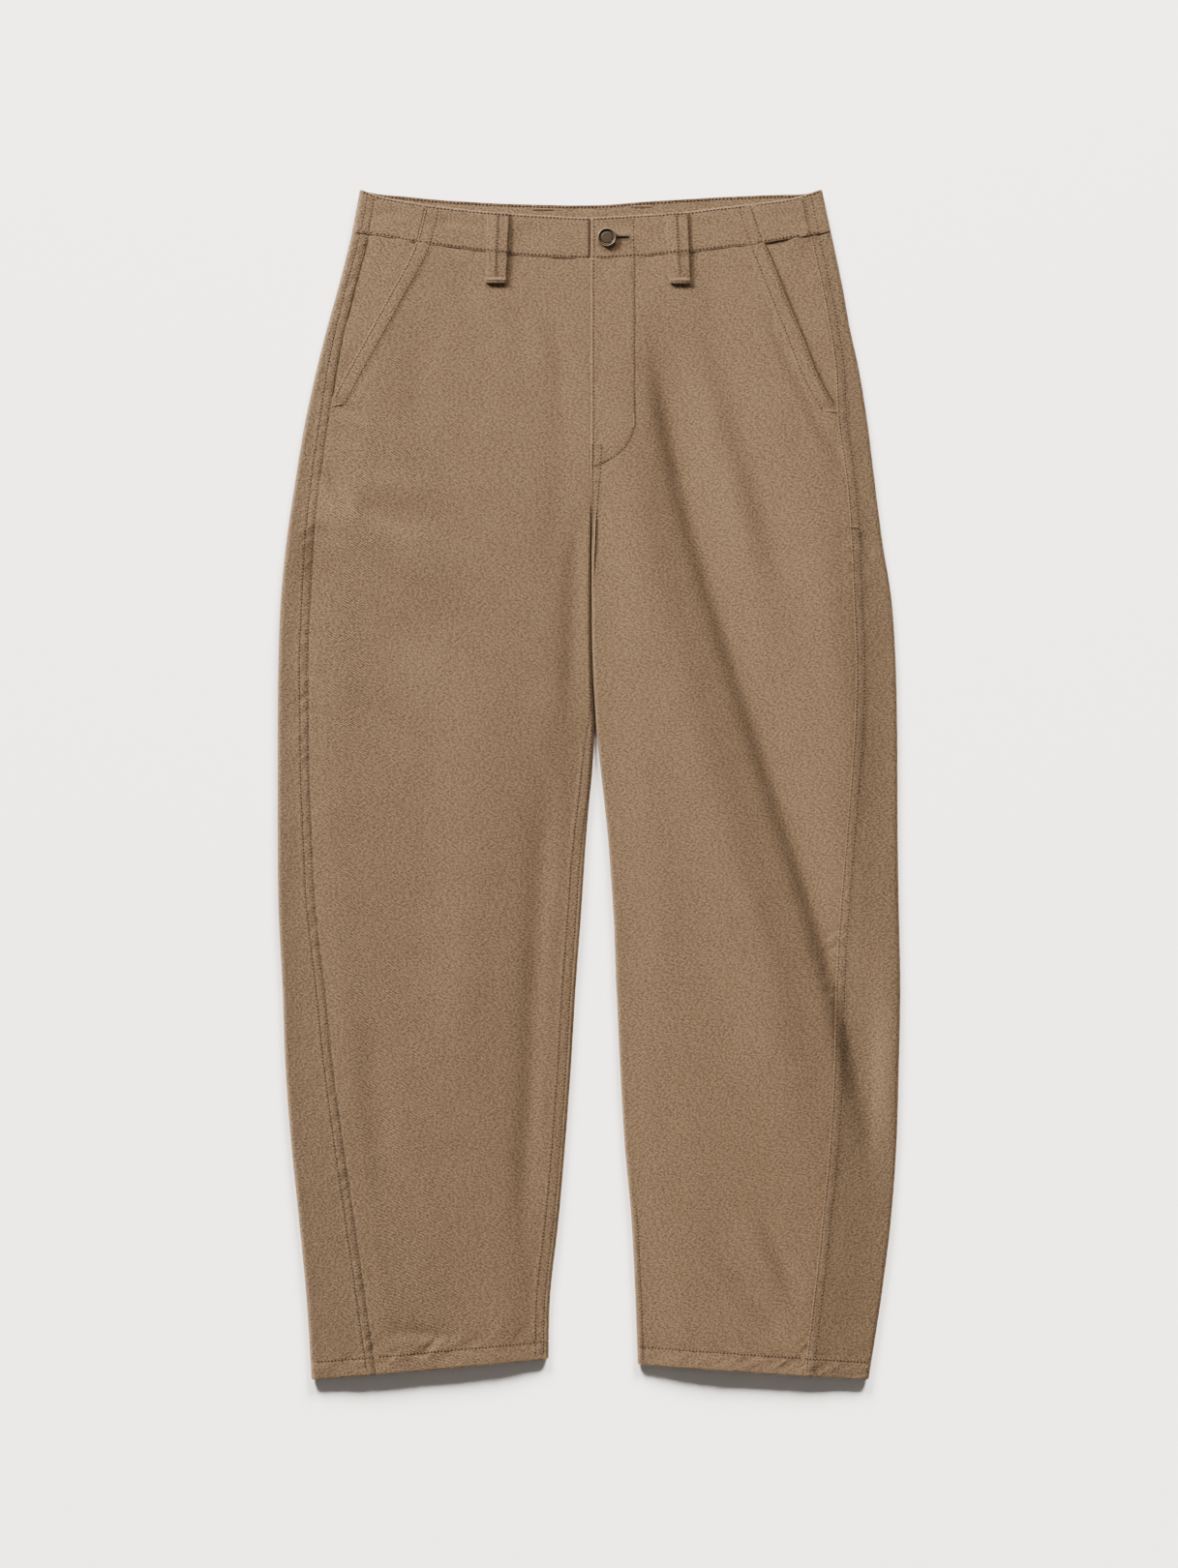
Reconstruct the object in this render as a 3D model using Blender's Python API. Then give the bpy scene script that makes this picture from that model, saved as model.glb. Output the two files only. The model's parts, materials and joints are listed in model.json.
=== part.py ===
"""Loose fit barrel-leg jeans of tan cotton twill, buttoned and laid flat, face up.

One row of a table is one level, fold or piece, in millimetres. The pieces are
walls of cloth: the back panels lie on the surface and wrap round the leg's
outer edge to the outseam, which shows on the front; the front panels lie on
them with a little loft, so waist and hems stay open. The waistband is pieced
at the pocket mouths and the outseams. The left front overlaps the right one
at the fly, over a zip and a shield, and the button holds the two band ends.
"""

import bmesh
import bpy
import numpy as np
from mathutils import Vector

# ---------------------------------------------------------------------------
# Sizes, in millimetres. X runs to the wearer's left, Y to the waist, Z up
# from the surface that the jeans lie on. The garment lies face up.
# ---------------------------------------------------------------------------
CLOTH = 1.2            # one ply of the twill
BAND_WALL = 2.6        # the waistband is two plies
BAND_PROUD = 0.6       # the band stands this much above the panels
SEAM_GAP = 0.3         # between two pieces at a seam
HEM_DEPTH = 15.0
HEM_WALL = 2.2         # the turned-up hem is two plies more than the leg
CENTRE_X = 2.0         # the centre front line
CROTCH_Y = 55.0        # the four panels meet here
FLY_END_Y = 277.0      # the fly stitching ends here
WAIST_NOMINAL = 462.0  # waist seam at the centre
HEM_NOMINAL = -512.0
INNER_R = 3.4          # rounding of a leg's inner edge
RAMP_OUT = 55.0        # the upper layer rises from its outer edge over this
RAMP_IN = 42.0         # and from its inner edge over this
FACING_DROP = 1.6      # a ply that lies under another one
LOOP_PLY = 1.8
LOOP_WIDTH = 18.5
BACK_LOOP_X = (-40.5, 46.0)
FRONT_LOOPS = {"right": -80.5, "left": 77.5}

# One row for each level of a leg: y, then the distances outward from x = 0
# of its outer edge, the outseam on the front, and its inner edge.
LEG_COLUMNS = ("y", "outer", "outseam", "inner")
LEG_RIGHT = (
    (521.5, 201.0, 185.5, -1.75),
    (484.0, 208.0, 192.5, -1.75),
    (434.0, 220.5, 205.5, -1.75),
    (400.0, 230.0, 214.0, -1.75),
    (366.0, 238.5, 221.0, -1.75),
    (323.5, 248.0, 227.5, -1.75),
    (264.0, 258.0, 236.0, -1.75),
    (213.0, 265.5, 241.5, -1.75),
    (162.0, 270.5, 244.0, -1.75),
    (111.0, 272.5, 246.0, -2.25),
    (55.0, 273.3, 245.5, -5.0),
    (9.0, 273.3, 245.0, -2.5),
    (-42.0, 273.3, 243.0, 2.0),
    (-110.0, 272.5, 239.5, 6.5),
    (-178.0, 269.0, 231.5, 11.5),
    (-246.0, 266.5, 224.5, 15.5),
    (-314.0, 261.5, 215.5, 20.5),
    (-382.0, 254.5, 205.5, 26.5),
    (-450.0, 248.0, 196.0, 34.0),
    (-521.5, 243.5, 186.0, 35.5),
)
LEG_LEFT = (
    (521.5, 204.5, 185.5, 2.25),
    (484.0, 212.5, 193.0, 2.25),
    (434.0, 223.0, 204.0, 2.25),
    (400.0, 229.0, 210.5, 2.25),
    (366.0, 236.5, 215.5, 2.25),
    (323.5, 243.5, 217.5, 2.25),
    (264.0, 251.0, 225.5, 2.25),
    (213.0, 257.5, 229.5, 2.25),
    (162.0, 265.5, 231.5, 2.25),
    (111.0, 269.0, 233.5, 2.75),
    (55.0, 270.5, 232.5, 5.5),
    (9.0, 270.8, 229.5, 10.5),
    (-42.0, 271.0, 225.5, 16.0),
    (-110.0, 272.0, 220.0, 21.5),
    (-178.0, 273.3, 216.5, 24.0),
    (-246.0, 272.0, 214.5, 27.0),
    (-314.0, 270.0, 210.5, 31.0),
    (-382.0, 265.0, 204.0, 37.0),
    (-450.0, 256.5, 196.5, 40.5),
    (-521.5, 245.5, 188.0, 43.0),
)
# Height of the upper layer away from its edges, and rounding of the outer edge.
LOFT_COLUMNS = ("y", "height", "outer_r")
LOFT = (
    (521.5, 11.2, 4.6),
    (462.0, 11.8, 4.5),
    (400.0, 11.6, 4.3),
    (300.0, 11.4, 4.0),
    (200.0, 11.2, 3.8),
    (60.0, 10.9, 3.8),
    (-100.0, 10.8, 3.8),
    (-300.0, 10.6, 3.8),
    (-430.0, 10.2, 3.8),
    (-521.5, 9.7, 3.8),
)
# Pocket mouths: the front panel's slanting edge, outward distance by level.
POCKET_RIGHT = ((508.0, 142.5), (474.0, 151.5), (461.0, 157.0), (429.0, 174.5), (389.5, 196.0), (349.0, 218.5), (334.0, 226.3))
POCKET_LEFT = ((508.5, 142.0), (473.5, 153.5), (457.0, 160.5), (434.0, 169.5), (390.0, 187.5), (349.0, 204.5), (327.0, 217.4))
# Waist lines by x: upper edge of the front band, of the back band, and the
# lower edge of the front band.
FRONT_TOP = ((-206.0, 523.0), (-201.0, 521.5), (-185.5, 516.0), (-165.5, 511.5), (-145.0, 508.0), (-117.5, 504.5), (-89.5, 501.5), (-37.0, 498.0), (1.5, 496.3), (21.5, 497.3), (51.5, 499.0), (86.5, 501.5), (110.0, 504.5), (140.5, 508.0), (184.5, 515.0), (204.0, 521.5), (209.0, 523.0))
BACK_TOP = ((-206.0, 522.6), (-201.0, 521.5), (-186.0, 518.6), (-161.0, 516.2), (-132.0, 513.4), (-102.5, 511.4), (-73.5, 509.6), (-44.0, 508.8), (-15.0, 508.2), (8.5, 508.4), (51.5, 511.6), (80.5, 513.4), (110.0, 515.4), (139.0, 516.8), (168.5, 517.8), (190.0, 518.6), (204.0, 521.5), (209.0, 522.6))
FRONT_BASE = ((-216.0, 485.6), (-208.0, 484.0), (-180.0, 479.6), (-152.5, 474.0), (-117.5, 469.6), (-91.0, 466.0), (-70.5, 463.6), (-37.0, 461.2), (0.0, 459.8), (36.5, 461.0), (69.0, 463.5), (88.5, 465.2), (118.5, 469.2), (152.0, 473.4), (175.5, 477.3), (194.5, 480.6), (212.0, 484.0), (220.0, 485.6))
BACK_BAND = 37.4       # height of the back band
# The main folds of the upper layer, one row each: a curve from start through
# two guides to end, its depth, and its widths on the lower-x and higher-x side.
FOLD_COLUMNS = ("name", "x0", "y0", "x1", "y1", "x2", "y2", "x3", "y3", "depth", "wide_a", "wide_b", "fade")
MAIN_FOLDS = (
    ("left_drag", 45.0, 425.0, 78.0, 179.0, 205.0, -118.0, 238.0, -450.0, -3.6, 12.0, 25.0, 0.16),
    ("left_drag_crest", 27.0, 330.0, 55.0, 110.0, 160.0, -120.0, 200.0, -470.0, 2.6, 34.0, 20.0, 0.25),
    ("left_second", 84.0, 436.0, 112.0, 366.0, 150.0, 281.0, 170.0, 150.0, -2.2, 12.0, 18.0, 0.35),
    ("left_second_crest", 62.0, 420.0, 92.0, 330.0, 132.0, 200.0, 160.0, 70.0, 1.6, 12.0, 12.0, 0.35),
    ("right_drag", -262.0, 232.0, -224.0, 182.0, -177.0, 158.0, -112.0, 84.0, -3.4, 17.0, 15.0, 0.30),
    ("right_drag_crest", -252.0, 252.0, -212.0, 212.0, -160.0, 186.0, -110.0, 140.0, 1.7, 14.0, 14.0, 0.35),
    ("right_inner", -30.0, 40.0, -44.0, -130.0, -50.0, -288.0, -58.0, -440.0, -2.2, 11.0, 9.0, 0.25),
    ("left_cuff", 112.0, -410.0, 138.0, -448.0, 158.0, -470.0, 178.0, -496.0, -1.5, 9.0, 8.0, 0.35),
)


def ease(t):
    """0 below 0, 1 above 1, and smooth between."""
    t = np.clip(t, 0.0, 1.0)
    return t * t * (3.0 - 2.0 * t)


def through(rows, column=1):
    """A smooth curve through a table's column, against its first one."""
    pts = sorted((r[0], r[column]) for r in rows)
    k = np.array([p[0] for p in pts])
    v = np.array([p[1] for p in pts])
    step = np.diff(v) / np.diff(k)
    slope = np.zeros_like(v)
    slope[1:-1] = (step[:-1] * np.diff(k)[1:] + step[1:] * np.diff(k)[:-1]) / (k[2:] - k[:-2])
    slope[0], slope[-1] = step[0], step[-1]

    def curve(t):
        t = np.asarray(t, float)
        i = np.clip(np.searchsorted(k, t) - 1, 0, len(k) - 2)
        h = k[i + 1] - k[i]
        q = (t - k[i]) / h
        inside = (
            (1 + 2 * q) * (1 - q) ** 2 * v[i]
            + q * (1 - q) ** 2 * h * slope[i]
            + q * q * (3 - 2 * q) * v[i + 1]
            + q * q * (q - 1) * h * slope[i + 1]
        )
        return np.where(t < k[0], v[0] + (t - k[0]) * slope[0], np.where(t > k[-1], v[-1] + (t - k[-1]) * slope[-1], inside))

    return curve


loft_height = through(LOFT, 1)
outer_round = through(LOFT, 2)
front_top = through(FRONT_TOP)
back_top = through(BACK_TOP)
front_base = through(FRONT_BASE)


def back_base(x):
    return back_top(x) - BACK_BAND


class Leg:
    """One half of the jeans. Its points are (u, y, z), with u outward from x = 0."""

    def __init__(self, name, side, rows, pocket):
        self.name, self.side = name, side
        self.outer = through(rows, 1)
        self.outseam = through(rows, 2)
        self.above = through([r for r in rows if r[0] >= CROTCH_Y], 3)
        self.below = through([r for r in rows if r[0] <= CROTCH_Y], 3)
        self.mouth = through(pocket)
        self.mouth_end = pocket[-1][0]

    def inner(self, y):
        return np.where(np.asarray(y) >= CROTCH_Y, self.above(y), self.below(y))

    def front_edge(self, y):
        """Outer border of the front panel: the pocket mouth, then the outseam."""
        return np.where(np.asarray(y) > self.mouth_end, np.minimum(self.mouth(y), self.outseam(y)), self.outseam(y))

    def hem(self, u):
        """The hem line slopes up to the inner edge."""
        if self.side < 0:
            return -521.5 + (243.5 - u) * 18.3 / 208.0
        return -508.0 - (u - 43.0) * 13.5 / 202.5

    def seam_turn(self, y):
        """How far the inseam lies round the inner edge: 0.5 at the edge, 1 on top."""
        y = np.asarray(y, float)
        if self.side < 0:
            return 0.5 + 0.40 * ease((CROTCH_Y - y) / 150.0)
        return 0.5 + 0.28 * ease((-300.0 - y) / 120.0)


RIGHT = Leg("right", -1, LEG_RIGHT, POCKET_RIGHT)
LEFT = Leg("left", 1, LEG_LEFT, POCKET_LEFT)


def fold_height(x, y, rows):
    """Sum of the folds' heights at x, y: each is a soft trough or crest along its curve."""
    x, y = np.broadcast_arrays(np.asarray(x, float), np.asarray(y, float))
    total = np.zeros(x.shape)
    t = np.linspace(0, 1, 25)
    for row in rows:
        f = dict(zip(FOLD_COLUMNS, row))
        b = ((1 - t) ** 3, 3 * t * (1 - t) ** 2, 3 * t * t * (1 - t), t ** 3)
        cx = sum(w * f["x%d" % i] for i, w in enumerate(b))
        cy = sum(w * f["y%d" % i] for i, w in enumerate(b))
        reach = 3.2 * max(f["wide_a"], f["wide_b"])
        near = (x > cx.min() - reach) & (x < cx.max() + reach) & (y > cy.min() - reach) & (y < cy.max() + reach)
        if not near.any():
            continue
        px, py = x[near], y[near]
        best = np.full(px.shape, 1e12)
        at = np.zeros(px.shape)
        side = np.zeros(px.shape)
        for i in range(len(t) - 1):
            dx, dy = cx[i + 1] - cx[i], cy[i + 1] - cy[i]
            q = np.clip(((px - cx[i]) * dx + (py - cy[i]) * dy) / (dx * dx + dy * dy), 0, 1)
            ex, ey = px - cx[i] - q * dx, py - cy[i] - q * dy
            d2 = ex * ex + ey * ey
            closer = d2 < best
            best = np.where(closer, d2, best)
            at = np.where(closer, (i + q) / (len(t) - 1), at)
            side = np.where(closer, dx * ey - dy * ex, side)
        # folds run down the leg, so a positive cross product is the higher-x side
        wide = np.where(side > 0, f["wide_b"], f["wide_a"])
        ends = ease(at / f["fade"]) * ease((1 - at) / f["fade"])
        total[near] += f["depth"] * ends * np.exp(-best / (wide * wide))
    return total


def top_height(leg, u, y, rows=MAIN_FOLDS):
    """Height of the upper layer's outer face."""
    u, y = np.broadcast_arrays(np.asarray(u, float), np.asarray(y, float))
    edge = 2 * outer_round(y)
    out = leg.outer(y) - outer_round(y) - u
    inn = u - leg.inner(y) - INNER_R
    rolled = ease((300.0 - y) / (300.0 - CROTCH_Y))
    base = edge + (loft_height(y) - edge) * ease(out / RAMP_OUT)
    shoulder = base * (1 - rolled) + 2 * INNER_R * rolled
    z = shoulder + (base - shoulder) * ease(inn / RAMP_IN)
    keep = ease(out / 22.0) * ((1 - rolled) + rolled * ease(inn / 16.0))
    return z + keep * fold_height(leg.side * u, y, rows)


def inner_edge(leg, y, turn, rows=MAIN_FOLDS):
    """(u, z) round the inner edge: turn 0 is under it, 0.5 at the edge and 1 on top."""
    y, turn = np.broadcast_arrays(np.asarray(y, float), np.asarray(turn, float))
    a = turn * np.pi
    start = leg.inner(y)
    u = start + INNER_R - INNER_R * np.sin(a)
    round_z = INNER_R - INNER_R * np.cos(a)
    shoulder = top_height(leg, start + INNER_R, y, rows)
    valley = 1.7 + (shoulder - 1.7) * ease((y - CROTCH_Y) / (262.0 - CROTCH_Y))
    open_z = np.where(turn >= 0.5, valley + (shoulder - valley) * -np.cos(a), 0.0)
    open_u = np.where(turn >= 0.5, u, start + INNER_R * (1 - 2 * turn))
    above = y >= CROTCH_Y
    return np.where(above, open_u, u), np.where(above, open_z, round_z)


def outer_edge(leg, y, turn, proud=0.0):
    """(u, z) round the outer edge: turn 0 is under it and 1 on top."""
    r = outer_round(y) + proud / 2
    a = np.asarray(turn, float) * np.pi
    return leg.outer(y) - r + r * np.sin(a), r - r * np.cos(a)


def back_lift(x, y):
    """The back layer lies over the two belt loops at its centre."""
    x, y = np.asarray(x, float), np.asarray(y, float)
    across = ease((112.0 - np.abs(x - 2.75)) / 46.0)
    return (LOOP_PLY + 0.35) * across * ease((y - 386.0) / 52.0)


def fly_drop(y):
    """1 where the right front lies lower than the left one at the fly, 0 below it."""
    return ease((np.asarray(y, float) - 250.0) / 14.0)


def fly_reach(y):
    """1 where the right front goes on under the left one. It starts above the drop."""
    return ease((np.asarray(y, float) - 264.0) / 12.0)


def row_levels(leg, y_nominal, u, on_top):
    """Actual y of a nominal level: the rows follow the waist line and the hem line.
    on_top is 1 on the upper layer, 0 on the lower, and between round the edge."""
    x = leg.side * u
    waist = front_base(x) * on_top + back_base(x) * (1 - on_top)
    near_waist = ease((y_nominal - (WAIST_NOMINAL - 150.0)) / 150.0)
    near_hem = ease(((HEM_NOMINAL + 150.0) - y_nominal) / 150.0)
    return y_nominal + near_waist * (waist - WAIST_NOMINAL) + near_hem * (leg.hem(u) - HEM_NOMINAL)


# ---------------------------------------------------------------------------
# Building the pieces
# ---------------------------------------------------------------------------
MM = 0.001
TWILL = (0.335, 0.223, 0.131)
BRASS = (0.110, 0.075, 0.052)
TAPE = (0.290, 0.195, 0.118)

for old in list(bpy.data.objects):
    bpy.data.objects.remove(old, do_unlink=True)


def material(name, colour, roughness, metallic=0.0):
    m = bpy.data.materials.new(name)
    m.use_nodes = True
    shader = m.node_tree.nodes["Principled BSDF"]
    shader.inputs["Base Color"].default_value = (*colour, 1.0)
    shader.inputs["Roughness"].default_value = roughness
    shader.inputs["Metallic"].default_value = metallic
    m.diffuse_color = (*colour, 1.0)
    return m


def add_object(name, verts, faces, colour, roughness, metallic=0.0, smooth_deg=40):
    """An object of its own with an outward-facing closed mesh, points in millimetres."""
    mesh = bpy.data.meshes.new(name)
    mesh.from_pydata([tuple(float(c) * MM for c in v) for v in verts], [], faces)
    mesh.update()
    bm = bmesh.new()
    bm.from_mesh(mesh)
    bmesh.ops.triangulate(bm, faces=[f for f in bm.faces if len(f.verts) == 4])
    if bm.calc_volume(signed=True) < 0:
        bmesh.ops.reverse_faces(bm, faces=bm.faces)
    bm.to_mesh(mesh)
    bm.free()
    mesh.shade_smooth()
    mesh.set_sharp_from_angle(angle=np.radians(smooth_deg))
    obj = bpy.data.objects.new(name, mesh)
    bpy.context.scene.collection.objects.link(obj)
    mesh.materials.append(material(name, colour, roughness, metallic))
    return obj


def wall(outer, inner):
    """Closed wall between two grids of points, outer face and inner face."""
    rows, cols = outer.shape[:2]
    verts = np.concatenate([outer.reshape(-1, 3), inner.reshape(-1, 3)])
    n = rows * cols
    faces = []
    for r in range(rows - 1):
        for c in range(cols - 1):
            a = r * cols + c
            faces.append((a, a + 1, a + cols + 1, a + cols))
            faces.append((n + a, n + a + cols, n + a + cols + 1, n + a + 1))
    rim = (
        [c for c in range(cols)]
        + [r * cols + cols - 1 for r in range(1, rows)]
        + [(rows - 1) * cols + c for c in range(cols - 2, -1, -1)]
        + [r * cols for r in range(rows - 2, 0, -1)]
    )
    for a, b in zip(rim, rim[1:] + rim[:1]):
        faces.append((b, a, n + a, n + b))
    return verts, faces


SHORT = 0.05
BACK_COLUMNS = (0.3, 0.42, 0.56, 0.8)


def offset(grid, thick, inward):
    """The grid moved along its normals in the plane across the leg; u is column 0, z is 2."""
    du = np.gradient(grid[..., 0], axis=1, edge_order=2)
    dz = np.gradient(grid[..., 2], axis=1, edge_order=2)
    size = np.hypot(du, dz)
    thick = np.broadcast_to(thick, size.shape)
    moved = grid.copy()
    moved[..., 0] += inward * -dz / size * thick
    moved[..., 2] += inward * du / size * thick
    # the inner face stops a little short at both ends, so that round seams stay apart
    for end, back in ((0, 1.0), (-1, -1.0)):
        short = SHORT * thick[:, end]
        moved[:, end, 0] += back * du[:, end] / size[:, end] * short
        moved[:, end, 2] += back * dz[:, end] / size[:, end] * short
    return moved


def to_xyz(grid, side):
    out = grid.copy()
    out[..., 0] *= side
    return out


def add_cloth(name, grid, side, thick, inward, colour=TWILL):
    verts, faces = wall(to_xyz(grid, side), to_xyz(offset(grid, thick, inward), side))
    return add_object(name, verts, faces, colour, 0.93)


# Levels of a leg's rows, waist seam to hem.
LEVELS = np.array(
    [462, 430, 396, 362, 334, 305, 276, 264, 250, 215, 178, 140, 105, 75, 58, 50, 30, -5, -60, -120, -185, -255, -330, -400, -455, -495.5, -498, -512.0]
)


def levels_for(leg, start, end, u_of_y, on_top):
    """Rows' actual y for one column, with the seam gap at the waist."""
    y = LEVELS.copy()
    for _ in range(3):
        y = row_levels(leg, LEVELS, u_of_y(y), on_top)
    y[0] -= SEAM_GAP / 2
    return y


def back_panel(leg):
    """Inseam, round the inner edge, flat along the surface, round the outer edge, to the outseam."""
    columns = []
    for q in np.linspace(1, 0, 4):  # round the inner edge to its underside
        turn = lambda y: (leg.seam_turn(y) - 0.016) * q

        def u_of(y):
            return inner_edge(leg, y, turn(y))[0]

        y = levels_for(leg, 0, 1, u_of, 0.0)
        u, z = inner_edge(leg, y, turn(y))
        columns.append((u, y, z))
    for q in BACK_COLUMNS:  # along the surface
        def u_of(y):
            a = leg.inner(y) + INNER_R
            return a + q * (leg.outer(y) - outer_round(y) - a)

        y = levels_for(leg, 0, 1, u_of, 0.0)
        columns.append((u_of(y), y, np.zeros_like(y)))
    for turn in np.linspace(0, 1, 5):
        def u_of(y):
            return outer_edge(leg, y, turn)[0]

        y = levels_for(leg, 0, 1, u_of, turn)
        u, z = outer_edge(leg, y, turn)
        columns.append((u, y, z))
    for q in (0.5, 1.0):
        def u_of(y):
            a = leg.outer(y) - outer_round(y)
            return a + q * (leg.outseam(y) + SEAM_GAP / 2 - a)

        y = levels_for(leg, 0, 1, u_of, 1.0)
        u = u_of(y)
        columns.append((u, y, top_height(leg, u, y)))
    grid = np.stack([np.stack(c, axis=-1) for c in columns], axis=1)
    low = slice(0, 9)
    grid[:, low, 2] += back_lift(leg.side * grid[:, low, 0], grid[:, low, 1])
    thick = np.where(LEVELS < -497, HEM_WALL, CLOTH)[:, None] * np.ones(grid.shape[1])
    return add_cloth("back_panel_" + leg.name, grid, leg.side, thick, 1)


def front_panel(leg):
    """Inseam or centre front, over the top, to the outseam or the pocket mouth."""
    columns = []
    under = 1.0 if leg.side < 0 else 0.0
    for q in np.linspace(0, 1, 3):
        turn = lambda y: leg.seam_turn(y) + 0.016 + (0.984 - leg.seam_turn(y)) * q

        def u_of(y):
            return inner_edge(leg, y, turn(y))[0] - 6.0 * under * fly_reach(y) * (1 - q)

        y = levels_for(leg, 0, 1, u_of, 1.0)
        u, z = inner_edge(leg, y, turn(y))
        columns.append((u - 6.0 * under * fly_reach(y) * (1 - q), y, z))
    for q in (0.05, 0.11, 0.19, 0.29, 0.4, 0.51, 0.62, 0.73, 0.84, 0.93, 1.0):
        def u_of(y):
            a = leg.inner(y) + INNER_R
            return a + q * (leg.front_edge(y) - SEAM_GAP / 2 - a)

        y = levels_for(leg, 0, 1, u_of, 1.0)
        u = u_of(y)
        columns.append((u, y, top_height(leg, u, y)))
    grid = np.stack([np.stack(c, axis=-1) for c in columns], axis=1)
    # the right front dips under the left one at the fly
    beside = ease((grid[..., 0] - leg.inner(grid[..., 1]) - 1.0) / 9.0)
    grid[..., 2] -= under * 1.6 * fly_drop(grid[..., 1]) * (1 - beside)
    thick = np.where(LEVELS < -497, HEM_WALL, CLOTH)[:, None] * np.ones(grid.shape[1])
    return add_cloth("front_panel_" + leg.name, grid, leg.side, thick, -1)


def patch(leg, levels, u_from, u_to, height, count, waist=None):
    """Rows by level and columns by share between two borders, on a height over the leg."""
    columns = []
    for q in np.linspace(0, 1, count):
        y = np.array(levels, float)
        u = u_from(y) + q * (u_to(y) - u_from(y))
        if waist is not None:
            share = ease((y - (y[0] - 60.0)) / 60.0)
            y = y + share * (waist(leg.side * u) - y[0])
            u = u_from(y) + q * (u_to(y) - u_from(y))
        columns.append(np.stack([u, y, height(u, y)], axis=-1))
    return np.stack(columns, axis=1)


def pocket_facing(leg):
    """The ply that shows in the pocket mouth. It goes on under the front and under the outseam."""
    top = WAIST_NOMINAL + 14
    levels = np.array([top, top - 32, top - 64, top - 96, leg.mouth_end + 8, leg.mouth_end - 14])
    grid = patch(
        leg,
        levels,
        lambda y: leg.mouth(np.maximum(y, leg.mouth_end)) - 22.0,
        lambda y: leg.outseam(y) + 4.0,
        lambda u, y: top_height(leg, u, y) - FACING_DROP,
        6,
        lambda x: front_base(x) - 0.5,
    )
    return add_cloth("pocket_facing_" + leg.name, grid, leg.side, CLOTH, -1)


def band_grid(x_low, x_high, height, count, gap_top=0.0):
    """Part of the front band between two slanting ends, five points up it."""
    grid = []
    for v in (0.0, 0.5, 1.0):
        line = []
        for q in np.linspace(0, 1, count):
            x = x_low(v) + q * (x_high(v) - x_low(v))
            base = front_base(x) + SEAM_GAP / 2
            y = base + v * (front_top(x) - gap_top - base)
            line.append((x, y, height(x, y)))
        grid.append(line)
    return np.array(grid, float)


def over_top(x, y, drop=0.0):
    leg = LEFT if x >= CENTRE_X else RIGHT
    return float(top_height(leg, leg.side * x, y)) + BAND_PROUD - drop


def band_ends(leg):
    """x of the pocket seam and of the outseam across the band, by share up it."""
    s = leg.side
    mouth = lambda v: s * (leg.mouth(474.0) + v * (leg.mouth(508.0) - leg.mouth(474.0)))
    seam = lambda v: s * (leg.outseam(481.0) + v * (leg.outseam(516.0) - leg.outseam(481.0)))
    return mouth, seam


def ordered(name, grid, thick):
    """Band pieces run along +x and rise toward the waist; their faces look up."""
    return add_cloth(name, grid, 1, thick, -1)


def band_right():
    """Right end of the band. It goes on 38 mm under the left end and carries the button."""
    mouth, _ = band_ends(RIGHT)
    low = lambda v: mouth(v) + SEAM_GAP / 2
    xs = lambda v: np.concatenate([np.linspace(low(v), -24, 8), [-14, -8, -3, 1.5, 4, 20, 40.0]])
    grid = []
    for v in (0.0, 0.5, 1.0):
        line = []
        for x in xs(v):
            base = front_base(x) + SEAM_GAP / 2
            y = base + v * (front_top(x) - 1.2 * ease((x + 8) / 10) - base)
            drop = (BAND_WALL + SEAM_GAP) * ease((x + 14.0) / 14.5)
            line.append((x, y, over_top(x, y, drop)))
        grid.append(line)
    return ordered("waistband_front_right", np.array(grid), BAND_WALL)


def band_left():
    """Left end of the band, over the right one, with the buttonhole cut through it."""
    mouth, _ = band_ends(LEFT)
    grid = band_grid(lambda v: CENTRE_X + 0.3, lambda v: mouth(v) - SEAM_GAP / 2, over_top, 12)
    band = ordered("waistband_front_left", grid, BAND_WALL)
    z = over_top(BUTTON_X, BUTTON_Y)
    bm = bmesh.new()
    made = bmesh.ops.create_cone(bm, cap_ends=True, segments=16, radius1=2.4 * MM, radius2=2.4 * MM, depth=12 * MM)
    bmesh.ops.translate(bm, verts=made["verts"], vec=Vector((BUTTON_X, BUTTON_Y, z)) * MM)
    slit_end = 36.0
    made = bmesh.ops.create_cube(bm, size=1.0)
    bmesh.ops.scale(bm, verts=made["verts"], vec=Vector(((slit_end - BUTTON_X) * MM, 1.4 * MM, 12.4 * MM)))
    bmesh.ops.translate(bm, verts=made["verts"], vec=Vector(((slit_end + BUTTON_X) / 2, BUTTON_Y, z)) * MM)
    mesh = bpy.data.meshes.new("buttonhole_cutter")
    bm.to_mesh(mesh)
    bm.free()
    cutter = bpy.data.objects.new("buttonhole_cutter", mesh)
    bpy.context.scene.collection.objects.link(cutter)
    cutter.hide_render = True
    cutter.display_type = "WIRE"
    cut = band.modifiers.new("buttonhole", "BOOLEAN")
    cut.operation = "DIFFERENCE"
    cut.solver = "EXACT"
    cut.use_self = True
    cut.object = cutter
    return band


def band_side(leg):
    mouth, seam = band_ends(leg)
    if leg.side > 0:
        grid = band_grid(lambda v: mouth(v) + SEAM_GAP / 2, lambda v: seam(v) - SEAM_GAP / 2, over_top, 4)
    else:
        grid = band_grid(lambda v: seam(v) + SEAM_GAP / 2, lambda v: mouth(v) - SEAM_GAP / 2, over_top, 4)
    return ordered("waistband_side_" + leg.name, grid, BAND_WALL)


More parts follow.
